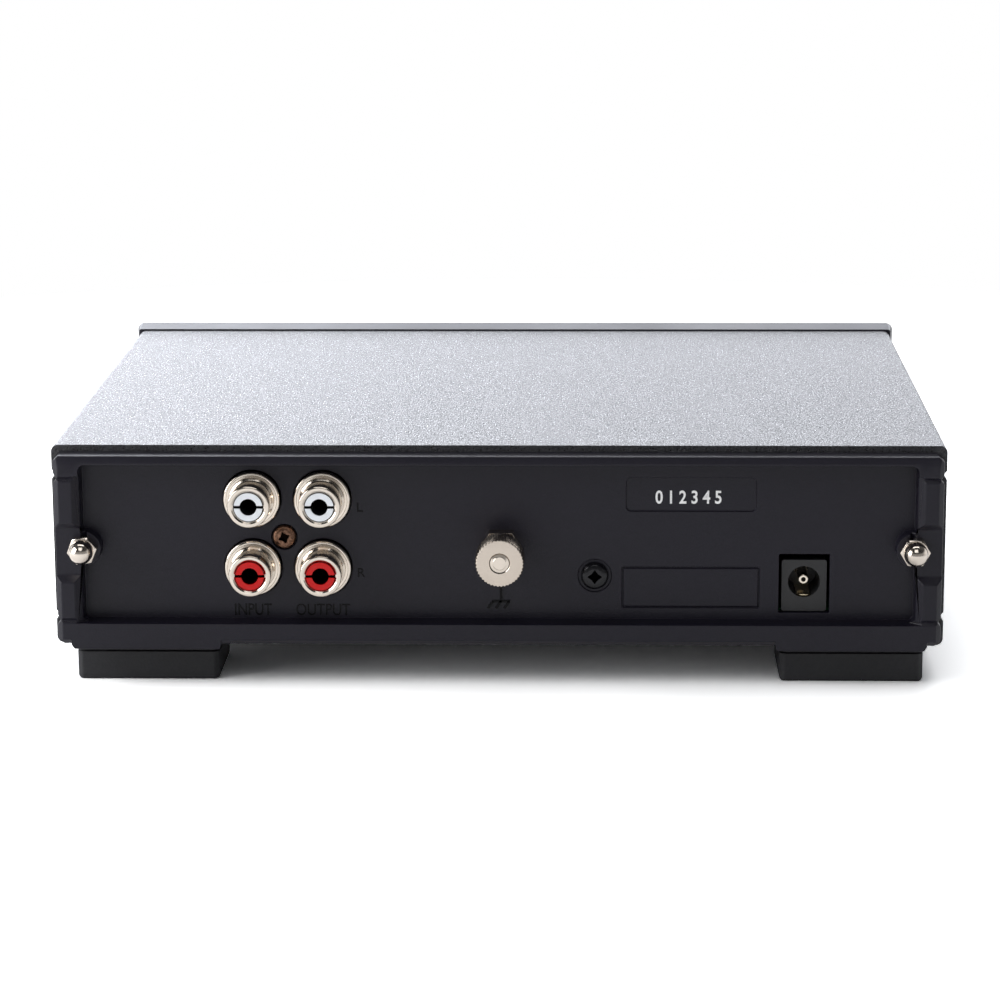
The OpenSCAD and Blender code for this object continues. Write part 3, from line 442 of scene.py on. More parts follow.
# Antique copper plate on a steel screw: brown, worn bright on the high spots.
# Its cross recess is painted dark as shade.
COPPER = Finish(
    "copper_plate_antique", "745848", 0.34, 1.0, grain_mm=0.35, relief=0.12, speckle=0.40,
    cloud=0.45, cloud_mm=1.6, gloss_change=0.12, pit_shade=PitShade(67.1, 67.35, 42.6, 30.2, 1.32),
)
# Glossy black zinc on a steel screw. Its cross recess is painted dark as shade.
BLACK_ZINC = Finish(
    "black_zinc_gloss", "16161a", 0.20, 0.4, grain_mm=0.4, relief=0.04, cloud_mm=2,
    pit_shade=PitShade(67.55, 67.85, -19.3, 22.4, 1.5),
)
# Gold flash on sprung bronze: a pale warm line inside the inlet.
GOLD = Finish("gold_flash_bronze", "f6e6c2", 0.10, 1.0, grain_mm=0.3, relief=0.03, cloud_mm=3)
# The same strip rolled to a tube deep in a socket, where little light reaches it. Its colour
# is painted darker than the bright strip's, and black behind its mouth, as shade.
GOLD_SHADED = Finish(
    "gold_flash_bronze_tube_shaded", "d2a454", 0.30, 1.0, grain_mm=0.3, relief=0.03, cloud_mm=3,
    pit_shade=PitShade(67.6, 67.9),
)
# Bright nickel on the inlet's hollow pin, with painted shade inside its tip.
NICKEL_PIN = Finish(
    "nickel_plate_pin", "e6dccd", 0.20, 1.0, grain_mm=0.2, relief=0.02, cloud_mm=2,
    pit_shade=PitShade(63.6, 64.1, -61.0, 21.1, 0.44),
)
# Tin on pressed steel: dull grey with a soft bloom.
TIN = Finish("tin_plate_pressed", "a9aaac", 0.38, 1.0, grain_mm=0.4, relief=0.05, cloud_mm=5)
# Moulded rubber: dead black that picks up a little dust.
RUBBER = Finish(
    "moulded_rubber", "262629", 0.62, specular=0.4, grain_mm=0.5, relief=0.12, speckle=0.08,
    cloud=0.15, cloud_mm=9,
)
# Solder mask over glass-filled laminate: green gloss over a faint weave.
LAMINATE = Finish(
    "solder_mask_laminate", "1f5a36", 0.32, grain_mm=0.9, relief=0.06, speckle=0.12, coat=0.3
)
# Shrink sleeve on a capacitor's can: dark blue, glossy, slightly rippled.
SLEEVE = Finish("pvc_shrink_sleeve", "1f2c48", 0.26, grain_mm=1.4, relief=0.05, coat=0.3)
# Moulded epoxy of chips and diodes: flat dark grey.
EPOXY = Finish("moulded_epoxy_grey", "2a2b2d", 0.62, grain_mm=0.3, relief=0.08, speckle=0.08)
# Dipped epoxy of film capacitors: red, with soft runs.
EPOXY_RED = Finish("dipped_epoxy_red", "a4372c", 0.30, grain_mm=1.2, relief=0.06, coat=0.3)
# Baked lacquer of resistors: beige, slightly lumpy.
LACQUER = Finish("baked_lacquer_beige", "c4ac7c", 0.38, grain_mm=0.8, relief=0.05, coat=0.2)
# Extruded aluminium left bare: pale grey with draw lines.
ALUMINIUM = Finish(
    "extruded_aluminium", "b2b5b8", 0.34, 1.0, grain_mm=0.5, relief=0.04, cloud_mm=8
)
# Cast epoxy of an indicator lamp: clear green, with a faint glow.
LAMP = Finish("cast_epoxy_green", "5fd070", 0.12, grain_mm=1.0, relief=0.01, glow=0.25)
# Pad-printed ink: a thin matt white film.
INK = Finish("pad_print_white", "f0f0f0", 0.55, grain_mm=0.2, relief=0.03, cloud=0.03, cloud_mm=3)


# ---------- mesh helpers


def link(name: str, mesh: bpy.types.Mesh) -> Piece:
    """Puts a mesh into the scene as an object at the origin.

    Args:
        name: The piece's name.
        mesh: Its mesh, in place.

    Returns:
        The object.
    """
    piece = bpy.data.objects.new(name, mesh)
    bpy.context.scene.collection.objects.link(piece)
    return piece


def smooth(mesh: bpy.types.Mesh, degrees: float = SHARP_DEGREES) -> None:
    """Shades a mesh smooth, with edges sharper than an angle kept sharp.

    Args:
        mesh: The mesh.
        degrees: The angle.
    """
    mesh.shade_smooth()
    mesh.set_sharp_from_angle(angle=math.radians(degrees))


def baked(piece: Piece) -> Piece:
    """Turns a piece with modifiers to a plain mesh piece of the same name.

    Args:
        piece: The piece. It is removed.

    Returns:
        The plain piece.
    """
    graph = bpy.context.evaluated_depsgraph_get()
    mesh = bpy.data.meshes.new_from_object(piece.evaluated_get(graph), depsgraph=graph)
    name = piece.name
    bpy.data.objects.remove(piece)
    mesh.name = name
    return link(name, mesh)


def plain_normals(mesh: bpy.types.Mesh) -> None:
    """Drops stored normals and sharp marks from a mesh.

    Args:
        mesh: The mesh.
    """
    for layer in ("custom_normal", "sharp_edge", "sharp_face"):
        if layer in mesh.attributes:
            mesh.attributes.remove(mesh.attributes[layer])


def weighted(piece: Piece) -> Piece:
    """Lets the large faces of a piece set the shading of its eased edges.

    Args:
        piece: The piece. It is removed.

    Returns:
        The shaded piece.
    """
    smooth(piece.data)
    weight = piece.modifiers.new("weight", "WEIGHTED_NORMAL")
    weight.keep_sharp = True
    return baked(piece)


def eased(node: str, ease: float, segments: int = 2, clamp: bool = True) -> Piece:
    """Copies a frame node with its edges rounded, as a mould or a file leaves them.

    Args:
        node: The frame's node.
        ease: Width of the rounding, in millimetres.
        segments: Facets across the rounding.
        clamp: Whether the shortest edge limits the width everywhere.

    Returns:
        The new piece, named after the node.
    """
    made = bmesh.new()
    made.from_mesh(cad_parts[node].data)
    bmesh.ops.remove_doubles(made, verts=made.verts, dist=MERGE_M)
    bmesh.ops.dissolve_limit(
        made, angle_limit=math.radians(FLAT_DEGREES), verts=made.verts, edges=made.edges
    )
    mesh = bpy.data.meshes.new(node + "_eased")
    made.to_mesh(mesh)
    made.free()
    plain_normals(mesh)
    mesh.materials.clear()
    piece = link(mesh.name, mesh)
    bevel = piece.modifiers.new("ease", "BEVEL")
    bevel.width = ease * MM
    bevel.segments = segments
    bevel.limit_method = "ANGLE"
    bevel.angle_limit = math.radians(EASE_DEGREES)
    bevel.use_clamp_overlap = clamp
    bevel.miter_outer = "MITER_ARC"
    return weighted(baked(piece))


def lathe(
    name: str, centre: tuple[float, float], profile: Sequence[tuple[float, float]], steps: int = 96
) -> Piece:
    """Turns a closed profile about a line along Y.

    Args:
        name: The piece's name.
        centre: X and Z of the line, in millimetres.
        profile: Radius and Y of each corner, in millimetres, in order round the section.
        steps: Facets round the circle.

    Returns:
        The piece, with a UV map of length round the circle and length along the profile.
    """
    made = bmesh.new()
    rings = []
    run = [0.0]
    for (r0, y0), (r1, y1) in zip(profile, list(profile[1:]) + [profile[0]]):
        run.append(run[-1] + math.hypot(r1 - r0, y1 - y0))
    for radius, y in profile:
        ring = []
        for i in range(steps):
            turn = 2 * math.pi * i / steps
            x = centre[0] + radius * math.cos(turn)
            z = centre[1] + radius * math.sin(turn)
            ring.append(made.verts.new((x * MM, y * MM, z * MM)))
        rings.append(ring)
    layer = made.loops.layers.uv.new("UVMap")
    count = len(profile)
    for j in range(count):
        after = (j + 1) % count
        radius = max(profile[j][0], profile[after][0], 0.01)
        for i in range(steps):
            k = (i + 1) % steps
            face = made.faces.new((rings[j][i], rings[j][k], rings[after][k], rings[after][i]))
            spots = ((i, run[j]), (i + 1, run[j]), (i + 1, run[j + 1]), (i, run[j + 1]))
            for loop, (a, v) in zip(face.loops, spots):
                loop[layer].uv = (2 * math.pi * radius * a / steps * MM, v * MM)
    bmesh.ops.remove_doubles(made, verts=made.verts, dist=1e-7)
    bmesh.ops.recalc_face_normals(made, faces=made.faces)
    mesh = bpy.data.meshes.new(name)
    made.to_mesh(mesh)
    made.free()
    smooth(mesh, CUT_DEGREES)
    return link(name, mesh)


def arc(
    centre: tuple[float, float], radius: float, start: float, end: float, steps: int = 6
) -> list[tuple[float, float]]:
    """Returns points on an arc of a profile.

    Args:
        centre: Radius and Y of the arc's centre.
        radius: The arc's own radius.
        start: Where it starts, in degrees from the outward radius towards +Y.
        end: Where it ends.
        steps: Chords along it.

    Returns:
        The points, in order.
    """
    out = []
    for i in range(steps + 1):
        turn = math.radians(start + (end - start) * i / steps)
        out.append((centre[0] + radius * math.cos(turn), centre[1] + radius * math.sin(turn)))
    return out


# ---------- sub-assemblies


@dataclass
class Assembly:
    """A group of pieces that is built and dressed together."""

    body: Body = Body.CASE
    pieces: list[Piece] = field(default_factory=list)

    def paint(self, finish: Finish, *nodes: str) -> None:
        """Gives frame nodes a finish.

        Args:
            finish: The finish.
            *nodes: The nodes' names.
        """
        for name in nodes:
            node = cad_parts[name]
            node.data.materials.clear()
            node.data.materials.append(finish.material())
            self.pieces.append(node)

    def mount(
        self,
        piece: Piece,
        finish: Finish,
        slot: str,
        replaces: Sequence[str] = (),
        body: Body | None = None,
    ) -> Piece:
        """slot: The record's material slot; not used.
            replaces: The frame nodes that it stands for.
            body: The body that it rides on; this assembly's own if left out.

        Returns:
            The piece.
        """
        if not piece.data.materials:
            piece.data.materials.append(finish.material())
        else:
            piece.data.materials[0] = finish.material()
        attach(piece, (body or self.body).value)
        if replaces:
            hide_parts(*replaces)
        self.pieces.append(piece)
        return piece

    def ease(
        self, node: str, finish: Finish, slot: str, width: float, segments: int = 2,
        clamp: bool = True,
    ) -> None:
        """Replaces a node by a copy of it with eased edges.

        Args:
            node: The frame's node.
            finish: The copy's finish.
            slot: The record's material slot.
            width: Width of the easing, in millimetres.
            segments: Facets across it.
            clamp: Whether the shortest edge limits the width everywhere.
        """
        self.mount(eased(node, width, segments, clamp), finish, slot, [node])

    def build(self) -> None:
        """Makes and dresses the assembly's pieces."""
        raise NotImplementedError


@dataclass
class Case(Assembly):
    """The sleeve, both end panels and the feet."""

    sleeve_ease: float = 0.12
    front_ease: float = 0.32
    rear_ease: float = 0.20
    foot_ease: float = 0.35
    top: float = 50.0
    sleeve_top: float = 48.85
    half: float = 90.0
    sleeve_half: float = 88.85
    lip_fall: float = 0.8
    lip_band: float = 0.4
    line_z: float = 6.0
    line_half: float = 0.2
    line_deep: float = 1.0

    def bezel(self) -> Piece:
        """Eases the front panel, and lets its lip fall towards the sleeve at the rear."""
        piece = eased("front_panel", self.front_ease, clamp=False)
        points = piece.data.vertices
        rear = max(v.co.y for v in points if v.co.z > (self.sleeve_top + 0.2) * MM)
        for point in points:
            if not rear - self.lip_band * MM < point.co.y <= rear + 1e-6:
                continue
            up = (point.co.z / MM - self.sleeve_top) / (self.top - self.sleeve_top)
            out = (abs(point.co.x) / MM - self.sleeve_half) / (self.half - self.sleeve_half)
            if up > 0:
                point.co.z -= self.lip_fall * up * MM
            if out > 0:
                point.co.x -= math.copysign(self.lip_fall * out * MM, point.co.x)
        return piece

    def foot(self, node: str) -> Piece:
        """Eases a foot and cuts the thin dark line that shows on it below the apron.

        Args:
            node: The foot's node.

        Returns:
            The foot, with its peg.
        """
        piece = eased(node, self.foot_ease)
        made = bmesh.new()
        made.from_mesh(piece.data)
        xs = [v.co.x for v in made.verts]
        ys = [v.co.y for v in made.verts]
        centre = Vector(((min(xs) + max(xs)) / 2, (min(ys) + max(ys)) / 2))
        half = Vector(((max(xs) - min(xs)) / 2, (max(ys) - min(ys)) / 2))
        for z in (self.line_z - self.line_half, self.line_z, self.line_z + self.line_half):
            parts = made.verts[:] + made.edges[:] + made.faces[:]
            bmesh.ops.bisect_plane(made, geom=parts, plane_co=(0, 0, z * MM), plane_no=(0, 0, 1))
        for point in made.verts:
            if abs(point.co.z - self.line_z * MM) < 1e-6:
                point.co.x -= (point.co.x - centre.x) * self.line_deep * MM / half.x
                point.co.y -= (point.co.y - centre.y) * self.line_deep * MM / half.y
        made.to_mesh(piece.data)
        made.free()
        plain_normals(piece.data)
        return weighted(piece)

    def build(self) -> None:
        """Eases the moulded and extruded edges, and finishes them."""
        self.ease("case_sleeve", POWDER, "coated_aluminium", self.sleeve_ease)
        self.mount(self.bezel(), ABS, "moulded_abs", ["front_panel"])
        self.ease("rear_panel", ABS, "moulded_abs", self.rear_ease, clamp=False)
        for corner in ("front_left", "front_right", "rear_left", "rear_right"):
            node = "foot_" + corner
            self.mount(self.foot(node), RUBBER, "foot_rubber", [node])


@dataclass
class TieRods(Assembly):
    """The rods that clamp the case, with their domed nuts and inserts."""

    nut_ease: float = 0.12

    def build(self) -> None:
        """Finishes the rods and inserts, and eases the domed nuts."""
        self.paint(ZINC, "tie_rods")
        self.paint(BRASS, "rod_inserts")
        self.ease("domed_nuts", NICKEL, "nickel_plate", self.nut_ease, 3)


@dataclass
class SignalSockets(Assembly):
    """Four phono sockets in one housing, with the screw that holds it."""

    group_x: float = 41.9
    pitch: float = 14.0
    low_z: float = 24.0
    panel_back: float = 64.5
    floor: float = 66.8
    barrel_r: float = 4.15
    barrel_out: float = 7.8
    collar_r: float = 5.65
    collar_out: float = 1.5
    bore_r: float = 3.0

    def shell_profile(self) -> list[tuple[float, float]]:
        """Returns the section of a shell: a rounded collar, a step and a barrel."""
        root = self.floor + self.collar_out
        tip = self.floor + self.barrel_out
        out = [(self.bore_r, self.panel_back), (self.collar_r, self.panel_back)]
        out += arc((self.collar_r - 0.4, root - 0.4), 0.4, 0, 90)
        out += [(self.barrel_r + 0.95, root), (self.barrel_r + 0.85, root - 0.12)]
        out += [(self.barrel_r + 0.42, root - 0.12)]
        out += [(self.barrel_r + 0.3, root + 0.25), (self.barrel_r, root + 0.45)]
        out += arc((self.barrel_r - 0.3, tip - 0.3), 0.3, 0, 90)
        out += [(self.bore_r + 0.42, tip), (self.bore_r, tip - 0.35)]
        return out

    def build(self) -> None:
        """Turns the shells, and finishes the rest."""
        rows = (("left", self.low_z + self.pitch), ("right", self.low_z))
        half = self.pitch / 2
        columns = (("input", self.group_x + half), ("output", self.group_x - half))
        for column, x in columns:
            for row, z in rows:
                node = f"{column}_shell_{row}"
                shell = lathe(node + "_turned", (x, z), self.shell_profile())
                self.mount(shell, NICKEL_TURNED, "nickel_plate", [node])
        for column in ("input", "output"):
            self.ease(f"{column}_core_left", NYLON_WHITE, "white_nylon", 0.08)
            self.ease(f"{column}_core_right", NYLON_RED, "red_nylon", 0.08)
        self.paint(NYLON, "socket_housing")
        self.paint(GOLD_SHADED, "socket_contacts")
        self.ease("socket_screw", COPPER, "copper_plate", 0.12)


@dataclass
class GroundTerminal(Assembly):
    """The stud, its nuts, the washer and the knurled thumb nut."""

    x: float = -0.65
    z: float = 27.8
    face: float = 78.8
    thick: float = 6.4
    radius: float = 4.75
    bore_r: float = 2.0
    tooth_high: float = 0.26
    tooth_long: float = 1.3
    scallop: float = 0.11
    teeth: int = 42
    rows: int = 13
    edge: float = 0.6
    bore_ease: float = 0.08
    stud_r: float = 1.95
    stud_back: float = 59.0

    def knurl_tree(self) -> Tree:
        """Makes the tree that lays diamond teeth round a barrel.

        Returns:
            A geometry tree with named inputs for its sizes.
        """
        tree = bpy.data.node_groups.new("diamond_knurl", "GeometryNodeTree")
        new_socket = tree.interface.new_socket
        for name, kind in (
            ("Barrel", "Geometry"), ("Radius", "Float"), ("Start", "Float"), ("Pitch", "Float"),
            ("Tooth Width", "Float"), ("Tooth Height", "Float"), ("Teeth", "Int"), ("Rows", "Int"),
            ("Centre", "Vector"), ("Finish", "Material"),
        ):
            new_socket(name, in_out="INPUT", socket_type="NodeSocket" + kind)
        new_socket("Geometry", in_out="OUTPUT", socket_type="NodeSocketGeometry")
        start = add(tree, "NodeGroupInput").outputs
        count = calc(tree, "MULTIPLY", start["Teeth"], start["Rows"])
        points = add(tree, "GeometryNodePoints", {"Count": count})
        index = add(tree, "GeometryNodeInputIndex").outputs[0]
        row = calc(tree, "FLOOR", calc(tree, "DIVIDE", index, start["Teeth"]))
        # Every other row is turned by half a tooth, which makes the diamonds.
        half = calc(tree, "MULTIPLY", calc(tree, "MODULO", row, 2.0), 0.5)
        part = calc(tree, "DIVIDE", calc(tree, "ADD", index, half), start["Teeth"])
        turn = calc(tree, "MULTIPLY", part, 2 * math.pi)
        y = calc(tree, "ADD", calc(tree, "MULTIPLY", row, start["Pitch"]), start["Start"])
        cosine = calc(tree, "COSINE", turn)
        sine = calc(tree, "SINE", turn)
        x = calc(tree, "MULTIPLY", cosine, start["Radius"])
        z = calc(tree, "MULTIPLY", sine, start["Radius"])
        spot = add(tree, "ShaderNodeCombineXYZ", {"X": x, "Y": y, "Z": z})
        place = add(
            tree, "ShaderNodeVectorMath", {0: spot.outputs[0], 1: start["Centre"]}, operation="ADD"
        )
        placed = add(
            tree,
            "GeometryNodeSetPosition",
            {"Geometry": points.outputs[0], "Position": place.outputs[0]},
        )
        outward = add(tree, "ShaderNodeCombineXYZ", {"X": cosine, "Z": sine})
        sizes = {
            "Vertices": 4,
            "Radius Top": 0.0,
            "Radius Bottom": start["Tooth Width"],
            "Depth": start["Tooth Height"],
        }
        tooth = add(tree, "GeometryNodeMeshCone", sizes)
        stretch = add(
            tree,
            "GeometryNodeTransform",
            {"Geometry": tooth.outputs["Mesh"], "Scale": (1.0, self.tooth_long, 1.0)},
        )
        aim = add(
            tree,
            "FunctionNodeAxesToRotation",
            {0: outward.outputs[0], 1: (0.0, 1.0, 0.0)},
            primary_axis="Z",
            secondary_axis="Y",
        )
        spread = {
            "Points": placed.outputs[0],
            "Instance": stretch.outputs[0],
            "Rotation": aim.outputs[0],
        }
        many = add(tree, "GeometryNodeInstanceOnPoints", spread)
        joined = add(tree, "GeometryNodeJoinGeometry")
        tree.links.new(start["Barrel"], joined.inputs[0])
        tree.links.new(many.outputs[0], joined.inputs[0])
        real = add(tree, "GeometryNodeRealizeInstances", {0: joined.outputs[0]})
        dressed = add(
            tree,
            "GeometryNodeSetMaterial",
            {"Geometry": real.outputs[0], "Material": start["Finish"]},
        )
        add(tree, "NodeGroupOutput", {0: dressed.outputs[0]})
        return tree

    def thumb_nut(self) -> Piece:
        """Turns the thumb nut's barrel and lays the knurl on it.

        Returns:
            The nut as one plain mesh.
        """
        back = self.face - self.thick
        core = self.radius - self.tooth_high
        ease = self.bore_ease
        profile = [(self.bore_r + ease, back), (core - 0.3, back), (core, back + 0.35)]
        profile += [(core, self.face - 0.2)]
        profile += arc((core - 0.1, self.face - 0.12), 0.12, 0, 90)
        profile += [(self.bore_r + ease, self.face), (self.bore_r, self.face - ease)]
        profile += [(self.bore_r, back + ease)]
        nut = lathe("thumb_nut_knurled", (self.x, self.z), profile, self.teeth * 4)
        for point in nut.data.vertices:
            across = Vector((point.co.x - self.x * MM, point.co.z - self.z * MM))
            if point.co.y > (self.face - 0.25) * MM and across.length > (core - 0.15) * MM:
                turn = math.atan2(across.y, across.x)
                swell = self.scallop * (1 + math.cos(self.teeth * turn)) * MM
                wide = across.normalized() * swell
                point.co.x += wide.x
                point.co.z += wide.y
        tree = self.knurl_tree()
        pitch = (self.thick - 2 * self.edge) / (self.rows - 1)
        values = {
            "Radius": (core + self.tooth_high / 2 - 0.01) * MM,
            "Start": (back + self.edge) * MM,
            "Pitch": pitch * MM,
            "Tooth Width": math.pi * core / self.teeth * MM,
            "Tooth Height": self.tooth_high * MM,
            "Teeth": self.teeth,
            "Rows": self.rows,
            "Centre": (self.x * MM, 0.0, self.z * MM),
            "Finish": NICKEL_SATIN.material(),
        }
        return grown(nut, tree, values)

    def stud(self) -> Piece:
        """Turns the stud, with a shallow cone and a flat at its tip."""
        y = self.face
        profile = [(0.0, self.stud_back), (self.stud_r - 0.6, self.stud_back)]
        profile += [(self.stud_r, self.stud_back + 0.6), (self.stud_r, y - 0.35)]
        profile += [(self.stud_r - 0.1, y - 0.17), (1.34, y - 0.07), (1.26, y), (0.0, y)]
        return lathe("ground_stud_turned", (self.x, self.z), profile)

    def build(self) -> None:
        """Turns the moving parts, and eases the fixed ones."""
        nut = self.thumb_nut()
        self.mount(nut, NICKEL_SATIN, "nickel_plate", ["thumb_nut"], body=Body.THUMB)
        self.ease("ground_nut", NICKEL_SATIN, "nickel_plate", 0.15)
        self.mount(self.stud(), NICKEL_TURNED, "nickel_plate", ["ground_stud"])
        self.paint(NICKEL, "ground_inner_nut", "clamp_washer")
        self.paint(TIN, "ground_tag")


def grown(
    piece: Piece, tree: Tree, values: Mapping[str, object]
) -> Piece:
    """Runs a geometry tree on a piece and keeps the result as a plain mesh.

    Args:
        piece: The piece that carries the tree.
        tree: The tree.
        values: Value of each named input.

    Returns:
        The plain piece.
    """
    run = piece.modifiers.new(tree.name, "NODES")
    run.node_group = tree
    for item in tree.interface.items_tree:
        if item.item_type == "SOCKET" and item.in_out == "INPUT" and item.name in values:
            run[item.identifier] = values[item.name]
    return baked(piece)


@dataclass
class PowerInlet(Assembly):
    """The barrel inlet for the supply's plug."""

    x: float = -61.0
    z: float = 21.1
    pin_r: float = 1.05
    pin_tip: float = 64.3
    hole_back: float = 56.65
    root_back: float = 54.625
    root_r: float = 1.3
    tip_bore_r: float = 0.42

    def pin(self) -> Piece:
        """Turns the pin: a hollow tip, a shank, and a root that shows as a thin ring."""
        inner = self.tip_bore_r
        profile = [(0.0, self.root_back), (self.root_r, self.root_back)]
        profile += [(self.root_r, self.hole_back - 0.2), (self.pin_r + 0.08, self.hole_back - 0.15)]
        profile += [(self.pin_r + 0.08, self.hole_back), (self.pin_r, self.hole_back + 0.05)]
        profile += arc((self.pin_r - 0.3, self.pin_tip - 0.3), 0.3, 0, 90)
        profile += [(inner + 0.06, self.pin_tip), (inner, self.pin_tip - 0.06)]
        profile += [(inner, self.pin_tip - 1.2), (0.0, self.pin_tip - 1.3)]
        return lathe("inlet_pin_turned", (self.x, self.z), profile, 48)

    def build(self) -> None:
        """Finishes the inlet's parts."""
        self.ease("inlet_body", NYLON, "moulded_nylon", 0.12)
        self.mount(self.pin(), NICKEL_PIN, "nickel_plate", ["inlet_pin"])
        self.paint(GOLD, "inlet_spring")


@dataclass
class FrontControls(Assembly):
    """The push button, its switch and the lamp."""

    button_ease: float = 0.15

    def build(self) -> None:
        """Finishes the button, its switch and the lamp."""
        piece = eased("power_button", self.button_ease, 3)
        self.mount(piece, ABS_POLISHED, "moulded_abs", ["power_button"], body=Body.BUTTON)
        self.paint(NYLON_WHITE, "switch_plunger")
        self.paint(NYLON, "switch_body")
        self.paint(LAMP, "indicator_lamp")


@dataclass
class Board(Assembly):
    """The circuit board with what stands on it, and its bracket."""

    def build(self) -> None:
        """Finishes the board's parts."""
        self.paint(LAMINATE, "circuit_board")
        self.paint(SLEEVE, "reservoir_capacitors", "signal_capacitors")
        self.paint(EPOXY, "rectifier_diodes", "regulators", "amplifier_chips", "transistors")
        self.paint(EPOXY_RED, "film_capacitors")
        self.paint(LACQUER, "resistors")
        self.paint(ALUMINIUM, "heat_sinks")
        self.paint(TIN, "board_bracket")
        self.ease("bracket_screw", BLACK_ZINC, "black_zinc", 0.12)


@dataclass(frozen=True)
class Word:
    """A short plain legend on the rear panel."""

    text: str
    left: float
    low: float
    wide: float
    high: float
    spacing: float = 1.0
    weight: float = 0.0


@dataclass
class Legends(Assembly):
    """The plain words, the digits and the earth sign on the rear panel's floor."""

    floor: float = 66.8
    pocket: float = 66.45
    proud: float = 0.25
    words: tuple[Word, ...] = (
        Word("INPUT", 52.8, 14.1, 7.4, 2.35),
        Word("OUTPUT", 40.5, 14.1, 10.8, 2.35),
        Word("L", 28.0, 35.4, 1.2, 1.8),
        Word("R", 28.0, 22.0, 1.4, 1.8),
    )
    digits: Word = Word("012345", -31.3, 37.06, 13.1, 2.72, 1.55, 0.02)
    sign_x: float = -0.57
    sign_top: float = 20.2
    sign_bar: float = 17.1
    sign_low: float = 15.66
    sign_stroke: float = 0.45

    def letters(self, word: Word, y: float, proud: float, name: str) -> Piece:
        """Makes a legend as a low relief that faces the rear.

        Args:
            word: The legend and its box on the panel.
            y: The surface that it stands on, in millimetres.
            proud: How far it stands out.
            name: The piece's name.

        Returns:
            The piece.
        """
        curve = bpy.data.curves.new(name, "FONT")
        curve.body = word.text
        curve.extrude = 0.5
        curve.offset = word.weight
        curve.space_character = word.spacing
        curve.resolution_u = 4
        holder = bpy.data.objects.new(name + "_text", curve)
        bpy.context.scene.collection.objects.link(holder)
        graph = bpy.context.evaluated_depsgraph_get()
        mesh = bpy.data.meshes.new_from_object(holder.evaluated_get(graph), depsgraph=graph)
        bpy.data.objects.remove(holder)
        xs = [v.co.x for v in mesh.vertices]
        ys = [v.co.y for v in mesh.vertices]
        start, base = min(xs), min(ys)
        wide = word.wide / (max(xs) - start)
        high = word.high / (max(ys) - base)
        for vertex in mesh.vertices:
            across, up, out = vertex.co
            x = word.left - (across - start) * wide
            z = word.low + (up - base) * high
            vertex.co = (x * MM, (y + out * proud) * MM, z * MM)
        made = bmesh.new()
        made.from_mesh(mesh)
        bmesh.ops.remove_doubles(made, verts=made.verts, dist=1e-6)
        bmesh.ops.recalc_face_normals(made, faces=made.faces)
        made.to_mesh(mesh)
        made.free()
        mesh.name = name
        return link(name, mesh)

    def stroke(
        self, made: bmesh.types.BMesh, start: tuple[float, float], end: tuple[float, float],
        width: float,
    ) -> None:
        """Adds a straight raised line to a mesh on the panel's floor.

        Args:
            made: The mesh.
            start: X and Z of its start.
            end: X and Z of its end.
            width: Its width.
        """
        run = Vector((end[0] - start[0], end[1] - start[1]))
        side = Vector((-run.y, run.x)).normalized() * (width / 2)
        corners = [
            (start[0] + side.x, start[1] + side.y), (start[0] - side.x, start[1] - side.y),
            (end[0] - side.x, end[1] - side.y), (end[0] + side.x, end[1] + side.y),
        ]
        rings = []
        for y in (self.floor - self.proud, self.floor + self.proud):
            rings.append([made.verts.new((x * MM, y * MM, z * MM)) for x, z in corners])
        made.faces.new(rings[0])
        made.faces.new(rings[1])
        for i in range(4):
            k = (i + 1) % 4
            made.faces.new((rings[0][i], rings[0][k], rings[1][k], rings[1][i]))

    def earth_sign(self) -> Piece:
        """Makes the earth sign: a stem, a bar and three slanted strokes."""
        made = bmesh.new()
        x = self.sign_x
        self.stroke(made, (x, self.sign_top), (x, self.sign_bar), self.sign_stroke)
        bar = ((x + 1.75, self.sign_bar), (x - 1.85, self.sign_bar))
        self.stroke(made, *bar, self.sign_stroke)
        for top in (x + 1.6, x, x - 1.65):
            self.stroke(made, (top, self.sign_bar), (top + 1.0, self.sign_low), 0.5)
        bmesh.ops.recalc_face_normals(made, faces=made.faces)
        mesh = bpy.data.meshes.new("earth_sign")
        made.to_mesh(mesh)
        made.free()
        return link("earth_sign", mesh)

    def build(self) -> None:
        """Makes the legends."""
        for number, word in enumerate(self.words):
            piece = self.letters(word, self.floor, self.proud, f"legend_{number}")
            self.mount(piece, ABS_RELIEF_SHADED, "moulded_abs")
        piece = self.letters(self.digits, self.pocket, 0.03, "printed_digits")
        self.mount(piece, INK, "white_nylon")
        self.mount(self.earth_sign(), ABS_RELIEF_SHADED, "moulded_abs")


# ---------- the studio


@dataclass(frozen=True)
class Lamp:
    """A soft rectangular lamp that is aimed at the object, in metres and watts."""

    name: str
    place: tuple[float, float, float]
    size: tuple[float, float]
    power: float
    colour: str = "ffffff"

    def hang(self) -> None:
        """Puts the lamp in the scene, out of the camera's sight."""
        data = bpy.data.lights.new(self.name, "AREA")
        data.shape = "RECTANGLE"
        data.size, data.size_y = self.size
        data.energy = self.power
        data.color = linear(self.colour)[:3]
        lamp = bpy.data.objects.new(self.name, data)
        lamp.visible_camera = False
        lamp.location = self.place
        aim = Vector((0.0, 0.0, 0.03)) - lamp.location
        lamp.rotation_euler = aim.to_track_quat("-Z", "Y").to_euler()
        bpy.context.scene.collection.objects.link(lamp)


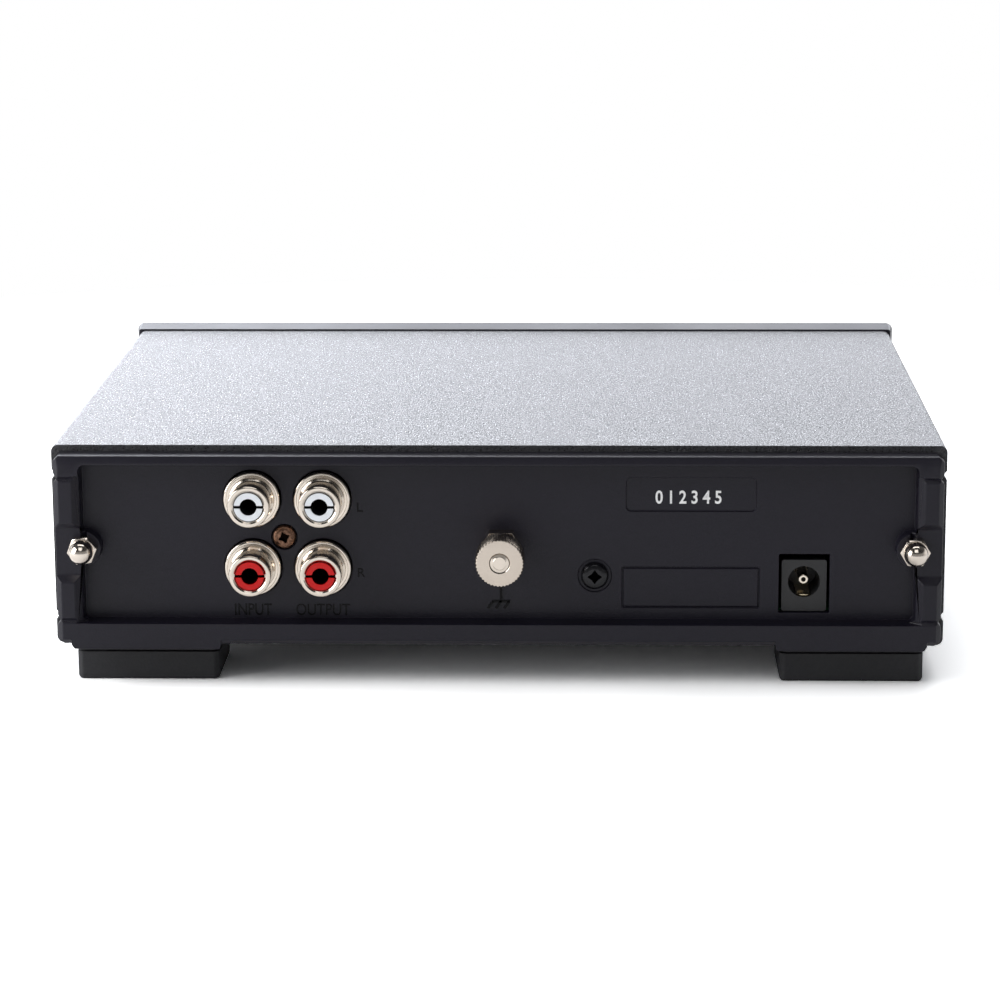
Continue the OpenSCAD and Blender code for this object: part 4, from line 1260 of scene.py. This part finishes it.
@dataclass
class Studio:
    """The camera, the floor and the light.

    To the camera the floor's colour is floor_lift, and from the first to the second distance of
    floor_fade, in metres, it turns to plain white. What is glossy sees a white band low behind
    the object. It falls to `ceiling` higher up and to `room` on the camera's side, between the
    two heights of ceiling_fade and the two places along Y of room_fade.
    """

    eye: tuple[float, float, float] = (-18.80, 691.66, 181.71)
    yaw: float = -0.0293397
    pitch: float = 0.2262078
    roll: float = -0.0044998
    lens: float = 116.31
    floor_colour: str = "f4f4f4"
    floor_lift: float = 1.9
    floor_reach: float = 12.0
    floor_fade: tuple[float, float] = (0.20, 0.45)
    ambient: float = 0.32
    ambient_colour: str = "e9ebee"
    ceiling: float = 0.10
    ceiling_fade: tuple[float, float] = (0.25, 0.50)
    room: float = 0.35
    room_fade: tuple[float, float] = (-0.2, 0.4)
    lamps: tuple[Lamp, ...] = (
        Lamp("side_left", (0.72, 0.30, 0.34), (0.55, 0.55), 5.5),
        Lamp("back_left", (0.75, -1.35, 0.55), (1.2, 0.8), 11.0, "f1f5ff"),
        Lamp("back_low", (0.0, -1.60, 0.40), (1.6, 0.6), 11.5, "f1f5ff"),
        Lamp("overhead", (0.0, -0.50, 1.30), (1.2, 1.2), 10.0),
        Lamp("over_camera", (0.0, 1.00, 1.20), (0.8, 0.8), 3.0),
    )

    def camera(self) -> None:
        """Puts the camera where the photograph's edges place it."""
        level = math.cos(self.pitch)
        ahead = Vector(
            (-math.sin(self.yaw) * level, -math.cos(self.yaw) * level, -math.sin(self.pitch))
        )
        side = Vector((-math.cos(self.yaw), math.sin(self.yaw), 0.0))
        up = side.cross(ahead)
        right = math.cos(self.roll) * side + math.sin(self.roll) * up
        top = -math.sin(self.roll) * side + math.cos(self.roll) * up
        turn = Matrix((right, top, -ahead)).transposed().to_4x4()
        data = bpy.data.cameras.new("camera")
        data.lens = self.lens
        data.sensor_width = 36.0
        data.clip_start = 0.01
        eye = bpy.data.objects.new("camera", data)
        eye.matrix_world = Matrix.Translation(Vector(self.eye) * MM) @ turn
        bpy.context.scene.collection.objects.link(eye)
        bpy.context.scene.camera = eye

    def floor(self) -> None:
        """Lays a plain pale floor that is white to the camera and keeps the shadow."""
        mesh = bpy.data.meshes.new("floor")
        reach = self.floor_reach
        corners = [(-reach, -reach, 0), (reach, -reach, 0), (reach, reach, 0), (-reach, reach, 0)]
        mesh.from_pydata(corners, [], [(0, 1, 2, 3)])
        piece = link("floor", mesh)
        made = bpy.data.materials.new("pale_floor")
        made.use_nodes = True
        tree = made.node_tree
        tree.nodes.clear()
        camera, mirrored = rays(tree)
        colours = (linear(self.floor_colour), (1.0,) * 4, (self.floor_lift,) * 3 + (1.0,))
        lit, mirror, lifted = (
            add(tree, "ShaderNodeBsdfDiffuse", {"Color": colour, "Roughness": 0.0}).outputs[0]
            for colour in colours
        )
        where = add(tree, "ShaderNodeTexCoord").outputs["Object"]
        away = add(tree, "ShaderNodeVectorMath", {0: where}, operation="LENGTH").outputs["Value"]
        white = add(tree, "ShaderNodeEmission", {"Color": (1, 1, 1, 1), "Strength": 1.0}).outputs[0]
        seen = mix(tree, ramp(tree, away, *self.floor_fade), lifted, white)
        pick = mix(tree, camera, mix(tree, mirrored, lit, mirror), seen)
        add(tree, "ShaderNodeOutputMaterial", {"Surface": pick})
        mesh.materials.append(made)

    def lights(self) -> None:
        """Hangs soft lamps and a pale world."""
        for lamp in self.lamps:
            lamp.hang()
        world = bpy.data.worlds.new("studio")
        bpy.context.scene.world = world
        world.use_nodes = True
        tree = world.node_tree
        tree.nodes.clear()
        camera, mirrored = rays(tree)
        towards = add(tree, "ShaderNodeTexCoord").outputs["Generated"]
        parts = add(tree, "ShaderNodeSeparateXYZ", {0: towards}).outputs
        rise = ramp(tree, parts["Z"], *self.ceiling_fade, 1.0, self.ceiling)
        behind = ramp(tree, parts["Y"], *self.room_fade, 1.0, self.room)
        backdrop = calc(tree, "MULTIPLY", rise, behind)
        white = (1.0, 1.0, 1.0, 1.0)
        soft, pale, plain = (
            add(tree, "ShaderNodeBackground", {"Color": colour, "Strength": power}).outputs[0]
            for colour, power in (
                (linear(self.ambient_colour), self.ambient), (white, backdrop), (white, 1.0)
            )
        )
        pick = mix(tree, camera, mix(tree, mirrored, soft, pale), plain)
        add(tree, "ShaderNodeOutputWorld", {"Surface": pick})

    def build(self) -> None:
        """Sets the camera, the floor, the lamps and the plain view transform."""
        self.camera()
        self.floor()
        self.lights()
        bpy.context.scene.view_settings.view_transform = "Standard"


def main() -> None:
    """Builds the studio and each sub-assembly in order, and logs each piece."""
    logging.basicConfig(level=logging.INFO, format="%(message)s")
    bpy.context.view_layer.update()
    Studio().build()
    for assembly in (
        Case(), TieRods(), SignalSockets(), GroundTerminal(), PowerInlet(), FrontControls(),
        Board(), Legends(),
    ):
        assembly.build()
        for piece in assembly.pieces:
            LOG.info("%s: %s", type(assembly).__name__, piece.name)
    bpy.context.view_layer.update()


if __name__ == "__main__":
    main()
